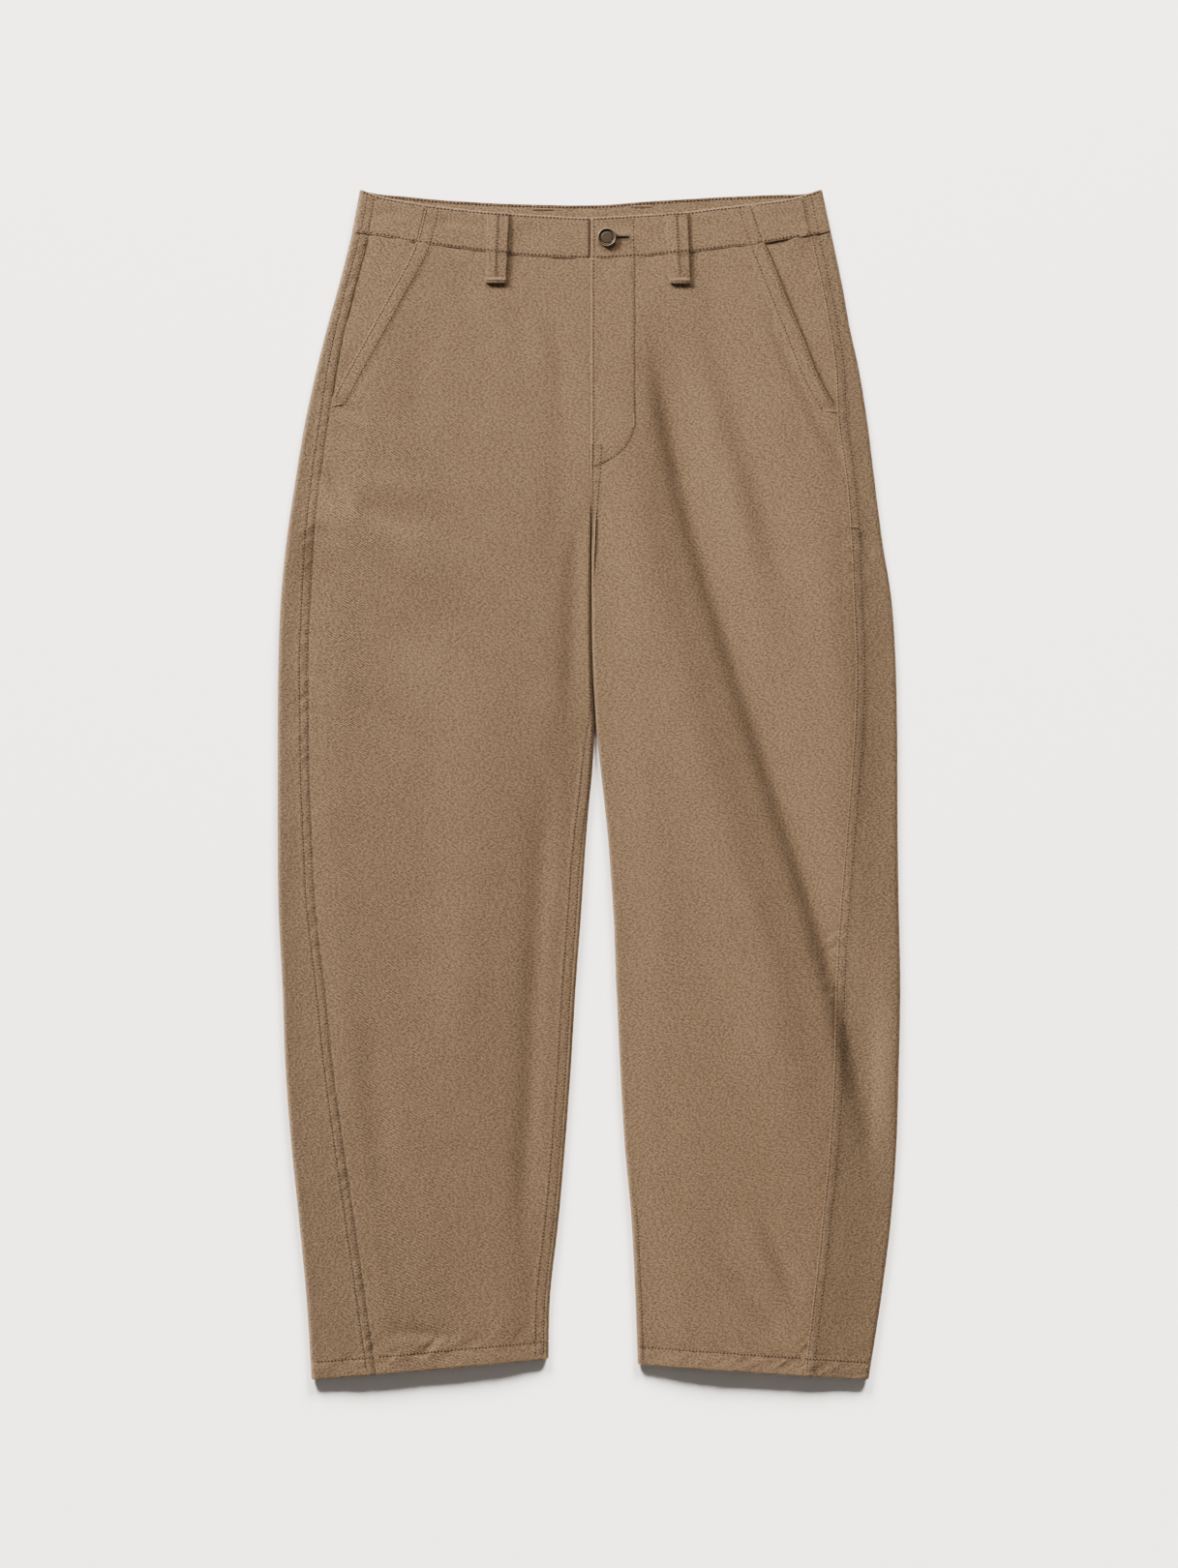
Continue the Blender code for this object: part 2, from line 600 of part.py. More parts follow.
def band_back():
    """From the right outseam round the side, along the back, and round to the left outseam."""
    stations = [("top", -1, q) for q in (0.0, 0.5)]
    stations += [("edge", -1, t) for t in np.linspace(1, 0, 5)]
    stations += [("flat", -1, q) for q in reversed(BACK_COLUMNS)] + [("flat", -1, 0.0), ("flat", 1, 0.0)]
    stations += [("flat", 1, q) for q in BACK_COLUMNS]
    stations += [("edge", 1, t) for t in np.linspace(0, 1, 5)]
    stations += [("top", 1, q) for q in (0.5, 0.0)]
    grid = []
    for v in (0.0, 0.5, 1.0):
        line = []
        for kind, side, q in stations:
            leg = LEFT if side > 0 else RIGHT
            y, z, on_top = 480.0, 0.0, 0.0
            for _ in range(3):
                if kind == "flat":
                    a = leg.inner(y) + INNER_R
                    x = side * float(a + q * (leg.outer(y) - outer_round(y) - a))
                if kind == "edge":
                    u, z = outer_edge(leg, y, q, BAND_PROUD)
                    x, on_top = side * float(u), q
                elif kind == "top":
                    r = outer_round(y) + BAND_PROUD / 2
                    seam = leg.outseam(481.0) + v * (leg.outseam(516.0) - leg.outseam(481.0)) + SEAM_GAP / 2
                    x, on_top = side * float(seam + q * (leg.outer(y) - r - seam)), 1.0
                base = (front_base(x) * on_top + back_base(x) * (1 - on_top)) + SEAM_GAP / 2
                top = front_top(x) * on_top + back_top(x) * (1 - on_top)
                y = float(base + v * (top - base))
            if kind == "top":
                z = over_top(x, y)
            if kind == "flat":
                z = back_lift(x, y)
            line.append((x, y, float(z)))
        grid.append(line)
    # this path runs from the right outseam downward, so its inner face is to its left
    return add_cloth("waistband_back", np.array(grid), 1, BAND_WALL, 1)


def belt_loop(name, x, lean):
    """A folded strip over the band, bartacked at its ends and bowed a little between."""
    top, low = float(front_top(x)) - 0.6, float(front_base(x)) - 26.0
    grid = []
    for q in np.linspace(0, 1, 7):
        y = top + q * (low - top)
        line = []
        for w in (-1.0, 0.0, 1.0):
            at = x + lean * q + w * LOOP_WIDTH / 2 * (1 - 0.08 * q)
            leg = LEFT if x > 0 else RIGHT
            z = float(top_height(leg, leg.side * (x + lean * q), y)) + BAND_PROUD + SEAM_GAP + LOOP_PLY
            slope = over_top(at, y) - over_top(x + lean * q, y)
            z += slope + 0.9 * np.sin(np.pi * q)
            line.append((at, y, z))
        grid.append(line)
    grid = np.array(grid, float)
    return add_cloth(name, grid, 1, LOOP_PLY, -1)


def back_loop(name, x):
    """The same strip on the back, under the band, on the surface."""
    top, low = float(back_top(x)) - 0.6, float(back_base(x)) - 22.0
    grid = []
    for q in np.linspace(0, 1, 3):
        y = top + q * (low - top)
        grid.append([(x + w * LOOP_WIDTH / 2, y, 0.0) for w in (-1, 0, 1)])
    return add_cloth(name, np.array(grid, float), 1, LOOP_PLY, 1)


def under_fly(name, x_low, x_high, drop, thick, low, colour=TWILL):
    """A strip under the fly, following the front from the waist seam down."""
    top = WAIST_NOMINAL - 2
    levels = [top, top - 38, top - 76, top - 114, top - 148, low]
    grid = []
    for i, level in enumerate(levels):
        line = []
        for x in np.linspace(x_low, x_high, 4):
            y = float(front_base(x)) - 0.6 if i == 0 else level
            leg = LEFT if x >= CENTRE_X else RIGHT
            z = float(top_height(leg, leg.side * x, y)) - drop
            line.append((x, y, z))
        grid.append(line)
    return add_cloth(name, np.array(grid, float), 1, thick, -1, colour)


BUTTON_X, BUTTON_Y = 15.5, 478.5
BUTTON_R = 8.4


def button():
    """A shank button: a domed cap with a raised rim, on a stem through the buttonhole."""
    z = over_top(BUTTON_X, BUTTON_Y)
    profile = [
        (0.0, 3.0), (4.6, 2.8), (5.4, 2.5), (6.2, 3.0), (7.4, 2.9), (BUTTON_R, 2.0), (BUTTON_R, 1.2),
        (7.4, 0.55), (1.9, 0.55), (1.9, -2.45), (0.0, -2.45),
    ]
    turns = 28
    verts, faces = [], []
    rings = []
    for r, h in profile:
        if r == 0.0:
            rings.append([len(verts)])
            verts.append((BUTTON_X, BUTTON_Y, z + h))
            continue
        rings.append(list(range(len(verts), len(verts) + turns)))
        for i in range(turns):
            a = 2 * np.pi * i / turns
            verts.append((BUTTON_X + r * np.cos(a), BUTTON_Y + r * np.sin(a), z + h))
    for a, b in zip(rings, rings[1:]):
        for i in range(turns):
            j = (i + 1) % turns
            if len(a) == 1:
                faces.append((a[0], b[i], b[j]))
            elif len(b) == 1:
                faces.append((a[i], b[0], a[j]))
            else:
                faces.append((a[i], b[i], b[j], a[j]))
    return add_object("button", verts, faces, BRASS, 0.45, 1.0)


for leg in (RIGHT, LEFT):
    back_panel(leg)
    front_panel(leg)
    pocket_facing(leg)
    band_side(leg)
band_back()
band_right()
band_left()
belt_loop("belt_loop_front_right", FRONT_LOOPS["right"] + 1.0, -2.2)
belt_loop("belt_loop_front_left", FRONT_LOOPS["left"] - 1.0, 3.2)
back_loop("belt_loop_back_right", BACK_LOOP_X[0])
back_loop("belt_loop_back_left", BACK_LOOP_X[1])
under_fly("fly_zip", CENTRE_X + 9.0, CENTRE_X + 22.0, CLOTH + 0.35, CLOTH, 290.0, TAPE)
under_fly("fly_shield", CENTRE_X - 7.0, CENTRE_X + 39.0, 2 * CLOTH + 0.75, CLOTH, 283.0)
button()
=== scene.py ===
"""The looks of the loose fit barrel-leg jeans, laid flat, face up.

Each piece of cloth is a thin shell on its solid's form, from the same named
sizes and tables, with turned edges, seam ridges, stitch furrows, puckers and
creases. Threads, bartacks, the buttonhole and the button are modelled; the
needle holes are dark discs and the buttonhole's slit a dark sheet, both
painted shade. The cloth's colour has paler worn edges, painted shade in
grooves, dents and under edges, and painted light and shade on puckers.
Lengths are millimetres until an object is made.
"""

import json

import bpy
import numpy as np
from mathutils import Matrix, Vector
from mathutils.bvhtree import BVHTree

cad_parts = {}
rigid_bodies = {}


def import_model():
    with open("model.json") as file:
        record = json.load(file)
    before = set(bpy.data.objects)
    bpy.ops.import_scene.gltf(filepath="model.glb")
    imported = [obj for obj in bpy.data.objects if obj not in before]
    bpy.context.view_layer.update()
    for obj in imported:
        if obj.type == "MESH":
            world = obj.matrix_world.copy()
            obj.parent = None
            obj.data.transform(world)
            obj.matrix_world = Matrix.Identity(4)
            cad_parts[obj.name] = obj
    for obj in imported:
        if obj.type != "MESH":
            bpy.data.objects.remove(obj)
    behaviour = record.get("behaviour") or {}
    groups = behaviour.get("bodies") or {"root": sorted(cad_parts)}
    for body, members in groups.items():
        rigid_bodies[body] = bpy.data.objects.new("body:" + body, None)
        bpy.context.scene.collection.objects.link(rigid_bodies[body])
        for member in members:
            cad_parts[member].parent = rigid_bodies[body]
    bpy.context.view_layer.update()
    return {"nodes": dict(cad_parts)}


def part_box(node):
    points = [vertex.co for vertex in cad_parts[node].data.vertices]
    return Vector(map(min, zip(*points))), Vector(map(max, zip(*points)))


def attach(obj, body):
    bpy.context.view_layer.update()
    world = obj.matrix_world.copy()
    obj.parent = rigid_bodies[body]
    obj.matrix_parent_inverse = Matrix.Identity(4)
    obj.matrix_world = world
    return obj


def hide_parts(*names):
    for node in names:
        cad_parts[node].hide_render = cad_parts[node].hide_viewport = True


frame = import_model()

# ---------------------------------------------------------------------------
# Sizes, in millimetres. X runs to the wearer's left, Y to the waist, Z up
# from the surface that the jeans lie on. The garment lies face up.
# ---------------------------------------------------------------------------
CLOTH = 1.2            # one ply of the twill
BAND_WALL = 2.6        # the waistband is two plies
BAND_PROUD = 0.6       # the band stands this much above the panels
SEAM_GAP = 0.3         # between two pieces at a seam
HEM_DEPTH = 15.0
HEM_WALL = 2.2         # the turned-up hem is two plies more than the leg
CENTRE_X = 2.0         # the centre front line
CROTCH_Y = 55.0        # the four panels meet here
FLY_END_Y = 277.0      # the fly stitching ends here
WAIST_NOMINAL = 462.0  # waist seam at the centre
HEM_NOMINAL = -512.0
INNER_R = 3.4          # rounding of a leg's inner edge
RAMP_OUT = 55.0        # the upper layer rises from its outer edge over this
RAMP_IN = 42.0         # and from its inner edge over this
FACING_DROP = 1.6      # a ply that lies under another one
LOOP_PLY = 1.8
LOOP_WIDTH = 18.5
BACK_LOOP_X = (-40.5, 46.0)
FRONT_LOOPS = {"right": -80.5, "left": 77.5}

# One row for each level of a leg: y, then the distances outward from x = 0
# of its outer edge, the outseam on the front, and its inner edge.
LEG_COLUMNS = ("y", "outer", "outseam", "inner")
LEG_RIGHT = (
    (521.5, 201.0, 185.5, -1.75),
    (484.0, 208.0, 192.5, -1.75),
    (434.0, 220.5, 205.5, -1.75),
    (400.0, 230.0, 214.0, -1.75),
    (366.0, 238.5, 221.0, -1.75),
    (323.5, 248.0, 227.5, -1.75),
    (264.0, 258.0, 236.0, -1.75),
    (213.0, 265.5, 241.5, -1.75),
    (162.0, 270.5, 244.0, -1.75),
    (111.0, 272.5, 246.0, -2.25),
    (55.0, 273.3, 245.5, -5.0),
    (9.0, 273.3, 245.0, -2.5),
    (-42.0, 273.3, 243.0, 2.0),
    (-110.0, 272.5, 239.5, 6.5),
    (-178.0, 269.0, 231.5, 11.5),
    (-246.0, 266.5, 224.5, 15.5),
    (-314.0, 261.5, 215.5, 20.5),
    (-382.0, 254.5, 205.5, 26.5),
    (-450.0, 248.0, 196.0, 34.0),
    (-521.5, 243.5, 186.0, 35.5),
)
LEG_LEFT = (
    (521.5, 204.5, 185.5, 2.25),
    (484.0, 212.5, 193.0, 2.25),
    (434.0, 223.0, 204.0, 2.25),
    (400.0, 229.0, 210.5, 2.25),
    (366.0, 236.5, 215.5, 2.25),
    (323.5, 243.5, 217.5, 2.25),
    (264.0, 251.0, 225.5, 2.25),
    (213.0, 257.5, 229.5, 2.25),
    (162.0, 265.5, 231.5, 2.25),
    (111.0, 269.0, 233.5, 2.75),
    (55.0, 270.5, 232.5, 5.5),
    (9.0, 270.8, 229.5, 10.5),
    (-42.0, 271.0, 225.5, 16.0),
    (-110.0, 272.0, 220.0, 21.5),
    (-178.0, 273.3, 216.5, 24.0),
    (-246.0, 272.0, 214.5, 27.0),
    (-314.0, 270.0, 210.5, 31.0),
    (-382.0, 265.0, 204.0, 37.0),
    (-450.0, 256.5, 196.5, 40.5),
    (-521.5, 245.5, 188.0, 43.0),
)
# Height of the upper layer away from its edges, and rounding of the outer edge.
LOFT_COLUMNS = ("y", "height", "outer_r")
LOFT = (
    (521.5, 11.2, 4.6),
    (462.0, 11.8, 4.5),
    (400.0, 11.6, 4.3),
    (300.0, 11.4, 4.0),
    (200.0, 11.2, 3.8),
    (60.0, 10.9, 3.8),
    (-100.0, 10.8, 3.8),
    (-300.0, 10.6, 3.8),
    (-430.0, 10.2, 3.8),
    (-521.5, 9.7, 3.8),
)
# Pocket mouths: the front panel's slanting edge, outward distance by level.
POCKET_RIGHT = ((508.0, 142.5), (474.0, 151.5), (461.0, 157.0), (429.0, 174.5), (389.5, 196.0), (349.0, 218.5), (334.0, 226.3))
POCKET_LEFT = ((508.5, 142.0), (473.5, 153.5), (457.0, 160.5), (434.0, 169.5), (390.0, 187.5), (349.0, 204.5), (327.0, 217.4))
# Waist lines by x: upper edge of the front band, of the back band, and the
# lower edge of the front band.
FRONT_TOP = ((-206.0, 523.0), (-201.0, 521.5), (-185.5, 516.0), (-165.5, 511.5), (-145.0, 508.0), (-117.5, 504.5), (-89.5, 501.5), (-37.0, 498.0), (1.5, 496.3), (21.5, 497.3), (51.5, 499.0), (86.5, 501.5), (110.0, 504.5), (140.5, 508.0), (184.5, 515.0), (204.0, 521.5), (209.0, 523.0))
BACK_TOP = ((-206.0, 522.6), (-201.0, 521.5), (-186.0, 518.6), (-161.0, 516.2), (-132.0, 513.4), (-102.5, 511.4), (-73.5, 509.6), (-44.0, 508.8), (-15.0, 508.2), (8.5, 508.4), (51.5, 511.6), (80.5, 513.4), (110.0, 515.4), (139.0, 516.8), (168.5, 517.8), (190.0, 518.6), (204.0, 521.5), (209.0, 522.6))
FRONT_BASE = ((-216.0, 485.6), (-208.0, 484.0), (-180.0, 479.6), (-152.5, 474.0), (-117.5, 469.6), (-91.0, 466.0), (-70.5, 463.6), (-37.0, 461.2), (0.0, 459.8), (36.5, 461.0), (69.0, 463.5), (88.5, 465.2), (118.5, 469.2), (152.0, 473.4), (175.5, 477.3), (194.5, 480.6), (212.0, 484.0), (220.0, 485.6))
BACK_BAND = 37.4       # height of the back band
# The main folds of the upper layer, one row each: a curve from start through
# two guides to end, its depth, and its widths on the lower-x and higher-x side.
FOLD_COLUMNS = ("name", "x0", "y0", "x1", "y1", "x2", "y2", "x3", "y3", "depth", "wide_a", "wide_b", "fade")
MAIN_FOLDS = (
    ("left_drag", 55.0, 430.0, 81.0, 160.0, 222.0, -80.0, 254.0, -360.0, -6.6, 12.5, 26.0, 0.16),
    ("left_drag_wide", 55.0, 430.0, 81.0, 160.0, 222.0, -80.0, 254.0, -360.0, -2.4, 30.0, 56.0, 0.24),
    ("left_drag_crest", 18.0, 372.0, 44.0, 130.0, 160.0, -96.0, 200.0, -400.0, 4.8, 30.0, 22.0, 0.24),
    ("left_second", 84.0, 436.0, 116.0, 366.0, 152.0, 281.0, 184.0, 110.0, -3.2, 15.0, 22.0, 0.35),
    ("left_second_crest", 96.0, 400.0, 106.0, 330.0, 132.0, 240.0, 164.0, 110.0, 1.6, 14.0, 14.0, 0.35),
    ("left_outer_crest", 196.0, 250.0, 206.0, 150.0, 222.0, 60.0, 244.0, -60.0, 1.8, 18.0, 16.0, 0.35),
    ("right_drag", -262.0, 236.0, -228.0, 178.0, -180.0, 138.0, -108.0, 66.0, -5.2, 24.0, 20.0, 0.35),
    ("right_drag_crest", -252.0, 266.0, -212.0, 226.0, -152.0, 200.0, -104.0, 150.0, 3.4, 18.0, 22.0, 0.35),
    ("right_inner", -34.0, 60.0, -46.0, -130.0, -52.0, -288.0, -60.0, -440.0, -3.0, 13.0, 11.0, 0.25),
    ("right_thigh_crest", -84.0, 190.0, -98.0, 20.0, -108.0, -150.0, -112.0, -330.0, 2.6, 30.0, 30.0, 0.35),
    ("left_cuff", 108.0, -404.0, 136.0, -444.0, 160.0, -470.0, 184.0, -497.0, -2.6, 9.0, 8.0, 0.35),
)


def ease(t):
    """0 below 0, 1 above 1, and smooth between."""
    t = np.clip(t, 0.0, 1.0)
    return t * t * (3.0 - 2.0 * t)


def through(rows, column=1):
    """A smooth curve through a table's column, against its first one."""
    pts = sorted((r[0], r[column]) for r in rows)
    k = np.array([p[0] for p in pts])
    v = np.array([p[1] for p in pts])
    step = np.diff(v) / np.diff(k)
    slope = np.zeros_like(v)
    slope[1:-1] = (step[:-1] * np.diff(k)[1:] + step[1:] * np.diff(k)[:-1]) / (k[2:] - k[:-2])
    slope[0], slope[-1] = step[0], step[-1]

    def curve(t):
        t = np.asarray(t, float)
        i = np.clip(np.searchsorted(k, t) - 1, 0, len(k) - 2)
        h = k[i + 1] - k[i]
        q = (t - k[i]) / h
        inside = (
            (1 + 2 * q) * (1 - q) ** 2 * v[i]
            + q * (1 - q) ** 2 * h * slope[i]
            + q * q * (3 - 2 * q) * v[i + 1]
            + q * q * (q - 1) * h * slope[i + 1]
        )
        return np.where(t < k[0], v[0] + (t - k[0]) * slope[0], np.where(t > k[-1], v[-1] + (t - k[-1]) * slope[-1], inside))

    return curve


loft_height = through(LOFT, 1)
outer_round = through(LOFT, 2)
front_top = through(FRONT_TOP)
back_top = through(BACK_TOP)
front_base = through(FRONT_BASE)


def back_base(x):
    return back_top(x) - BACK_BAND


class Leg:
    """One half of the jeans. Its points are (u, y, z), with u outward from x = 0."""

    def __init__(self, name, side, rows, pocket):
        self.name, self.side = name, side
        self.outer = through(rows, 1)
        self.outseam = through(rows, 2)
        self.above = through([r for r in rows if r[0] >= CROTCH_Y], 3)
        self.below = through([r for r in rows if r[0] <= CROTCH_Y], 3)
        self.mouth = through(pocket)
        self.mouth_end = pocket[-1][0]

    def inner(self, y):
        return np.where(np.asarray(y) >= CROTCH_Y, self.above(y), self.below(y))

    def front_edge(self, y):
        """Outer border of the front panel: the pocket mouth, then the outseam."""
        return np.where(np.asarray(y) > self.mouth_end, np.minimum(self.mouth(y), self.outseam(y)), self.outseam(y))

    def hem(self, u):
        """The hem line slopes up to the inner edge."""
        if self.side < 0:
            return -521.5 + (243.5 - u) * 18.3 / 208.0
        return -508.0 - (u - 43.0) * 13.5 / 202.5

    def seam_turn(self, y):
        """How far the inseam lies round the inner edge: 0.5 at the edge, 1 on top."""
        y = np.asarray(y, float)
        if self.side < 0:
            return 0.5 + 0.40 * ease((CROTCH_Y - y) / 150.0)
        return 0.5 + 0.28 * ease((-300.0 - y) / 120.0)


RIGHT = Leg("right", -1, LEG_RIGHT, POCKET_RIGHT)
LEFT = Leg("left", 1, LEG_LEFT, POCKET_LEFT)


def fold_height(x, y, rows):
    """Sum of the folds' heights at x, y: each is a soft trough or crest along its curve."""
    x, y = np.broadcast_arrays(np.asarray(x, float), np.asarray(y, float))
    total = np.zeros(x.shape)
    t = np.linspace(0, 1, 25)
    for row in rows:
        f = dict(zip(FOLD_COLUMNS, row))
        b = ((1 - t) ** 3, 3 * t * (1 - t) ** 2, 3 * t * t * (1 - t), t ** 3)
        cx = sum(w * f["x%d" % i] for i, w in enumerate(b))
        cy = sum(w * f["y%d" % i] for i, w in enumerate(b))
        reach = 3.2 * max(f["wide_a"], f["wide_b"])
        near = (x > cx.min() - reach) & (x < cx.max() + reach) & (y > cy.min() - reach) & (y < cy.max() + reach)
        if not near.any():
            continue
        px, py = x[near], y[near]
        best = np.full(px.shape, 1e12)
        at = np.zeros(px.shape)
        side = np.zeros(px.shape)
        for i in range(len(t) - 1):
            dx, dy = cx[i + 1] - cx[i], cy[i + 1] - cy[i]
            q = np.clip(((px - cx[i]) * dx + (py - cy[i]) * dy) / (dx * dx + dy * dy), 0, 1)
            ex, ey = px - cx[i] - q * dx, py - cy[i] - q * dy
            d2 = ex * ex + ey * ey
            closer = d2 < best
            best = np.where(closer, d2, best)
            at = np.where(closer, (i + q) / (len(t) - 1), at)
            side = np.where(closer, dx * ey - dy * ex, side)
        # folds run down the leg, so a positive cross product is the higher-x side
        wide = np.where(side > 0, f["wide_b"], f["wide_a"])
        ends = ease(at / f["fade"]) * ease((1 - at) / f["fade"])
        total[near] += f["depth"] * ends * np.exp(-best / (wide * wide))
    return total


def top_height(leg, u, y, rows=MAIN_FOLDS):
    """Height of the upper layer's outer face."""
    u, y = np.broadcast_arrays(np.asarray(u, float), np.asarray(y, float))
    edge = 2 * outer_round(y)
    out = leg.outer(y) - outer_round(y) - u
    inn = u - leg.inner(y) - INNER_R
    rolled = ease((300.0 - y) / (300.0 - CROTCH_Y))
    base = edge + (loft_height(y) - edge) * ease(out / RAMP_OUT)
    shoulder = base * (1 - rolled) + 2 * INNER_R * rolled
    z = shoulder + (base - shoulder) * ease(inn / RAMP_IN)
    keep = ease(out / 22.0) * ((1 - rolled) + rolled * ease(inn / 16.0))
    return z + keep * fold_height(leg.side * u, y, rows)


def inner_edge(leg, y, turn, rows=MAIN_FOLDS):
    """(u, z) round the inner edge: turn 0 is under it, 0.5 at the edge and 1 on top."""
    y, turn = np.broadcast_arrays(np.asarray(y, float), np.asarray(turn, float))
    a = turn * np.pi
    start = leg.inner(y)
    u = start + INNER_R - INNER_R * np.sin(a)
    round_z = INNER_R - INNER_R * np.cos(a)
    shoulder = top_height(leg, start + INNER_R, y, rows)
    valley = 1.7 + (shoulder - 1.7) * ease((y - CROTCH_Y) / (262.0 - CROTCH_Y))
    open_z = np.where(turn >= 0.5, valley + (shoulder - valley) * -np.cos(a), 0.0)
    open_u = np.where(turn >= 0.5, u, start + INNER_R * (1 - 2 * turn))
    above = y >= CROTCH_Y
    return np.where(above, open_u, u), np.where(above, open_z, round_z)


def outer_edge(leg, y, turn, proud=0.0):
    """(u, z) round the outer edge: turn 0 is under it and 1 on top."""
    r = outer_round(y) + proud / 2
    a = np.asarray(turn, float) * np.pi
    return leg.outer(y) - r + r * np.sin(a), r - r * np.cos(a)


def back_lift(x, y):
    """The back layer lies over the two belt loops at its centre."""
    x, y = np.asarray(x, float), np.asarray(y, float)
    across = ease((112.0 - np.abs(x - 2.75)) / 46.0)
    return (LOOP_PLY + 0.35) * across * ease((y - 386.0) / 52.0)


def fly_drop(y):
    """1 where the right front lies lower than the left one at the fly, 0 below it."""
    return ease((np.asarray(y, float) - 250.0) / 14.0)


def fly_reach(y):
    """1 where the right front goes on under the left one. It starts above the drop."""
    return ease((np.asarray(y, float) - 264.0) / 12.0)


def row_levels(leg, y_nominal, u, on_top):
    """Actual y of a nominal level: the rows follow the waist line and the hem line.
    on_top is 1 on the upper layer, 0 on the lower, and between round the edge."""
    x = leg.side * u
    waist = front_base(x) * on_top + back_base(x) * (1 - on_top)
    near_waist = ease((y_nominal - (WAIST_NOMINAL - 150.0)) / 150.0)
    near_hem = ease(((HEM_NOMINAL + 150.0) - y_nominal) / 150.0)
    return y_nominal + near_waist * (waist - WAIST_NOMINAL) + near_hem * (leg.hem(u) - HEM_NOMINAL)


# ---------------------------------------------------------------------------
# Small things that only the looks have
# ---------------------------------------------------------------------------
MM = 0.001
BUTTON_X, BUTTON_Y, BUTTON_R = 15.5, 478.5, 8.4
SLIT_END = 36.0
PITCH = 3.0            # a stitch and its gap
LIFT = 0.35            # the underside keeps this much room for its own relief
LIP = 0.55             # rounding of a seam's turned edge
BACK_MARK_W = 18.7
# Small creases and soft dents of the upper layer, as the main folds are given.
SMALL_FOLDS = (
    ("hip_soft_a", -208.0, 249.0, -190.0, 238.0, -168.0, 230.0, -136.0, 222.0, -2.0, 9.0, 13.0, 0.4),
    ("hip_crest_a", -205.0, 270.0, -180.0, 262.0, -155.0, 256.0, -120.0, 252.0, 1.3, 12.0, 12.0, 0.4),
    ("pocket_end_a", -224.0, 335.0, -214.0, 330.0, -204.0, 322.0, -192.0, 322.0, -1.2, 4.0, 5.0, 0.4),
    ("pocket_end_b", -226.0, 318.0, -218.0, 308.0, -210.0, 300.0, -196.0, 292.0, -1.2, 5.0, 6.0, 0.4),
    ("hip_edge_crease", -231.0, 280.0, -224.0, 264.0, -216.0, 250.0, -206.0, 232.0, -1.9, 5.0, 6.0, 0.4),
    ("hip_edge_crease_b", -238.0, 232.0, -232.0, 224.0, -226.0, 216.0, -216.0, 206.0, -0.9, 4.0, 5.0, 0.4),
    ("front_band_a", -146.0, 408.0, -150.0, 370.0, -148.0, 330.0, -140.0, 290.0, -1.3, 14.0, 14.0, 0.4),
    ("front_band_b", -74.0, 428.0, -66.0, 404.0, -56.0, 384.0, -48.0, 366.0, -1.2, 8.0, 9.0, 0.4),
    ("front_band_c", -42.0, 420.0, -34.0, 400.0, -26.0, 380.0, -18.0, 362.0, -1.1, 7.0, 8.0, 0.4),
    ("front_band_d", -30.0, 392.0, -24.0, 360.0, -22.0, 330.0, -22.0, 290.0, -1.2, 9.0, 9.0, 0.4),
    ("waist_drop_a", -118.0, 462.0, -112.0, 446.0, -106.0, 430.0, -100.0, 404.0, -1.0, 7.0, 9.0, 0.4),
    ("waist_drop_b", 108.0, 458.0, 104.0, 440.0, 108.0, 420.0, 116.0, 396.0, -0.8, 8.0, 9.0, 0.4),
    ("centre_roll", -10.0, 250.0, -14.0, 190.0, -15.0, 120.0, -16.0, 40.0, -1.6, 8.0, 9.0, 0.3),
    ("thigh_line", -22.0, 330.0, -24.0, 270.0, -30.0, 210.0, -42.0, 150.0, -0.9, 10.0, 12.0, 0.4),
    ("fly_pucker_a", 4.0, 394.0, 9.0, 391.0, 14.0, 389.5, 21.0, 389.0, -0.5, 2.0, 2.2, 0.4),
    ("fly_pucker_b", 4.0, 372.0, 9.0, 370.0, 13.0, 369.0, 19.0, 369.0, -0.4, 1.8, 2.2, 0.4),
    ("pocket_side", 148.0, 430.0, 172.0, 374.0, 200.0, 326.0, 226.0, 262.0, -2.2, 6.0, 9.0, 0.3),
    ("pocket_side_b", 212.0, 312.0, 216.0, 298.0, 221.0, 284.0, 227.0, 266.0, -1.3, 4.0, 5.0, 0.4),
    ("tack_crease_a", 214.0, 231.0, 219.0, 227.0, 224.0, 221.0, 229.0, 214.0, -0.8, 3.0, 3.5, 0.4),
    ("tack_crease_b", 236.0, 222.0, 241.0, 216.0, 246.0, 206.0, 250.0, 196.0, -1.0, 4.0, 5.0, 0.4),
    ("pocket_top_a", 163.0, 457.0, 168.0, 456.0, 172.0, 456.0, 177.0, 457.0, -0.8, 2.5, 3.5, 0.4),
    ("pocket_top_b", 180.0, 447.0, 185.0, 446.0, 190.0, 445.0, 196.0, 446.0, -0.6, 3.0, 4.0, 0.4),
    ("cuff_b", 146.0, -366.0, 158.0, -392.0, 172.0, -420.0, 186.0, -458.0, -1.5, 7.0, 8.0, 0.4),
    ("cuff_crest_b", 128.0, -370.0, 142.0, -400.0, 156.0, -428.0, 172.0, -464.0, 1.1, 8.0, 8.0, 0.4),
    ("cuff_c", -182.0, -476.0, -160.0, -482.0, -136.0, -480.0, -106.0, -486.0, -1.3, 5.0, 6.0, 0.4),
    ("shin_soft_right", -196.0, -160.0, -190.0, -240.0, -184.0, -310.0, -176.0, -396.0, -1.4, 12.0, 14.0, 0.4),
    ("shin_soft_left", 62.0, -170.0, 66.0, -260.0, 74.0, -350.0, 82.0, -450.0, -1.3, 10.0, 12.0, 0.4),
    ("knee_soft_right", -214.0, 96.0, -196.0, 66.0, -170.0, 40.0, -140.0, 26.0, -1.3, 11.0, 12.0, 0.4),
    ("knee_soft_left", 96.0, -40.0, 120.0, -90.0, 146.0, -150.0, 170.0, -220.0, -0.9, 10.0, 12.0, 0.4),
)
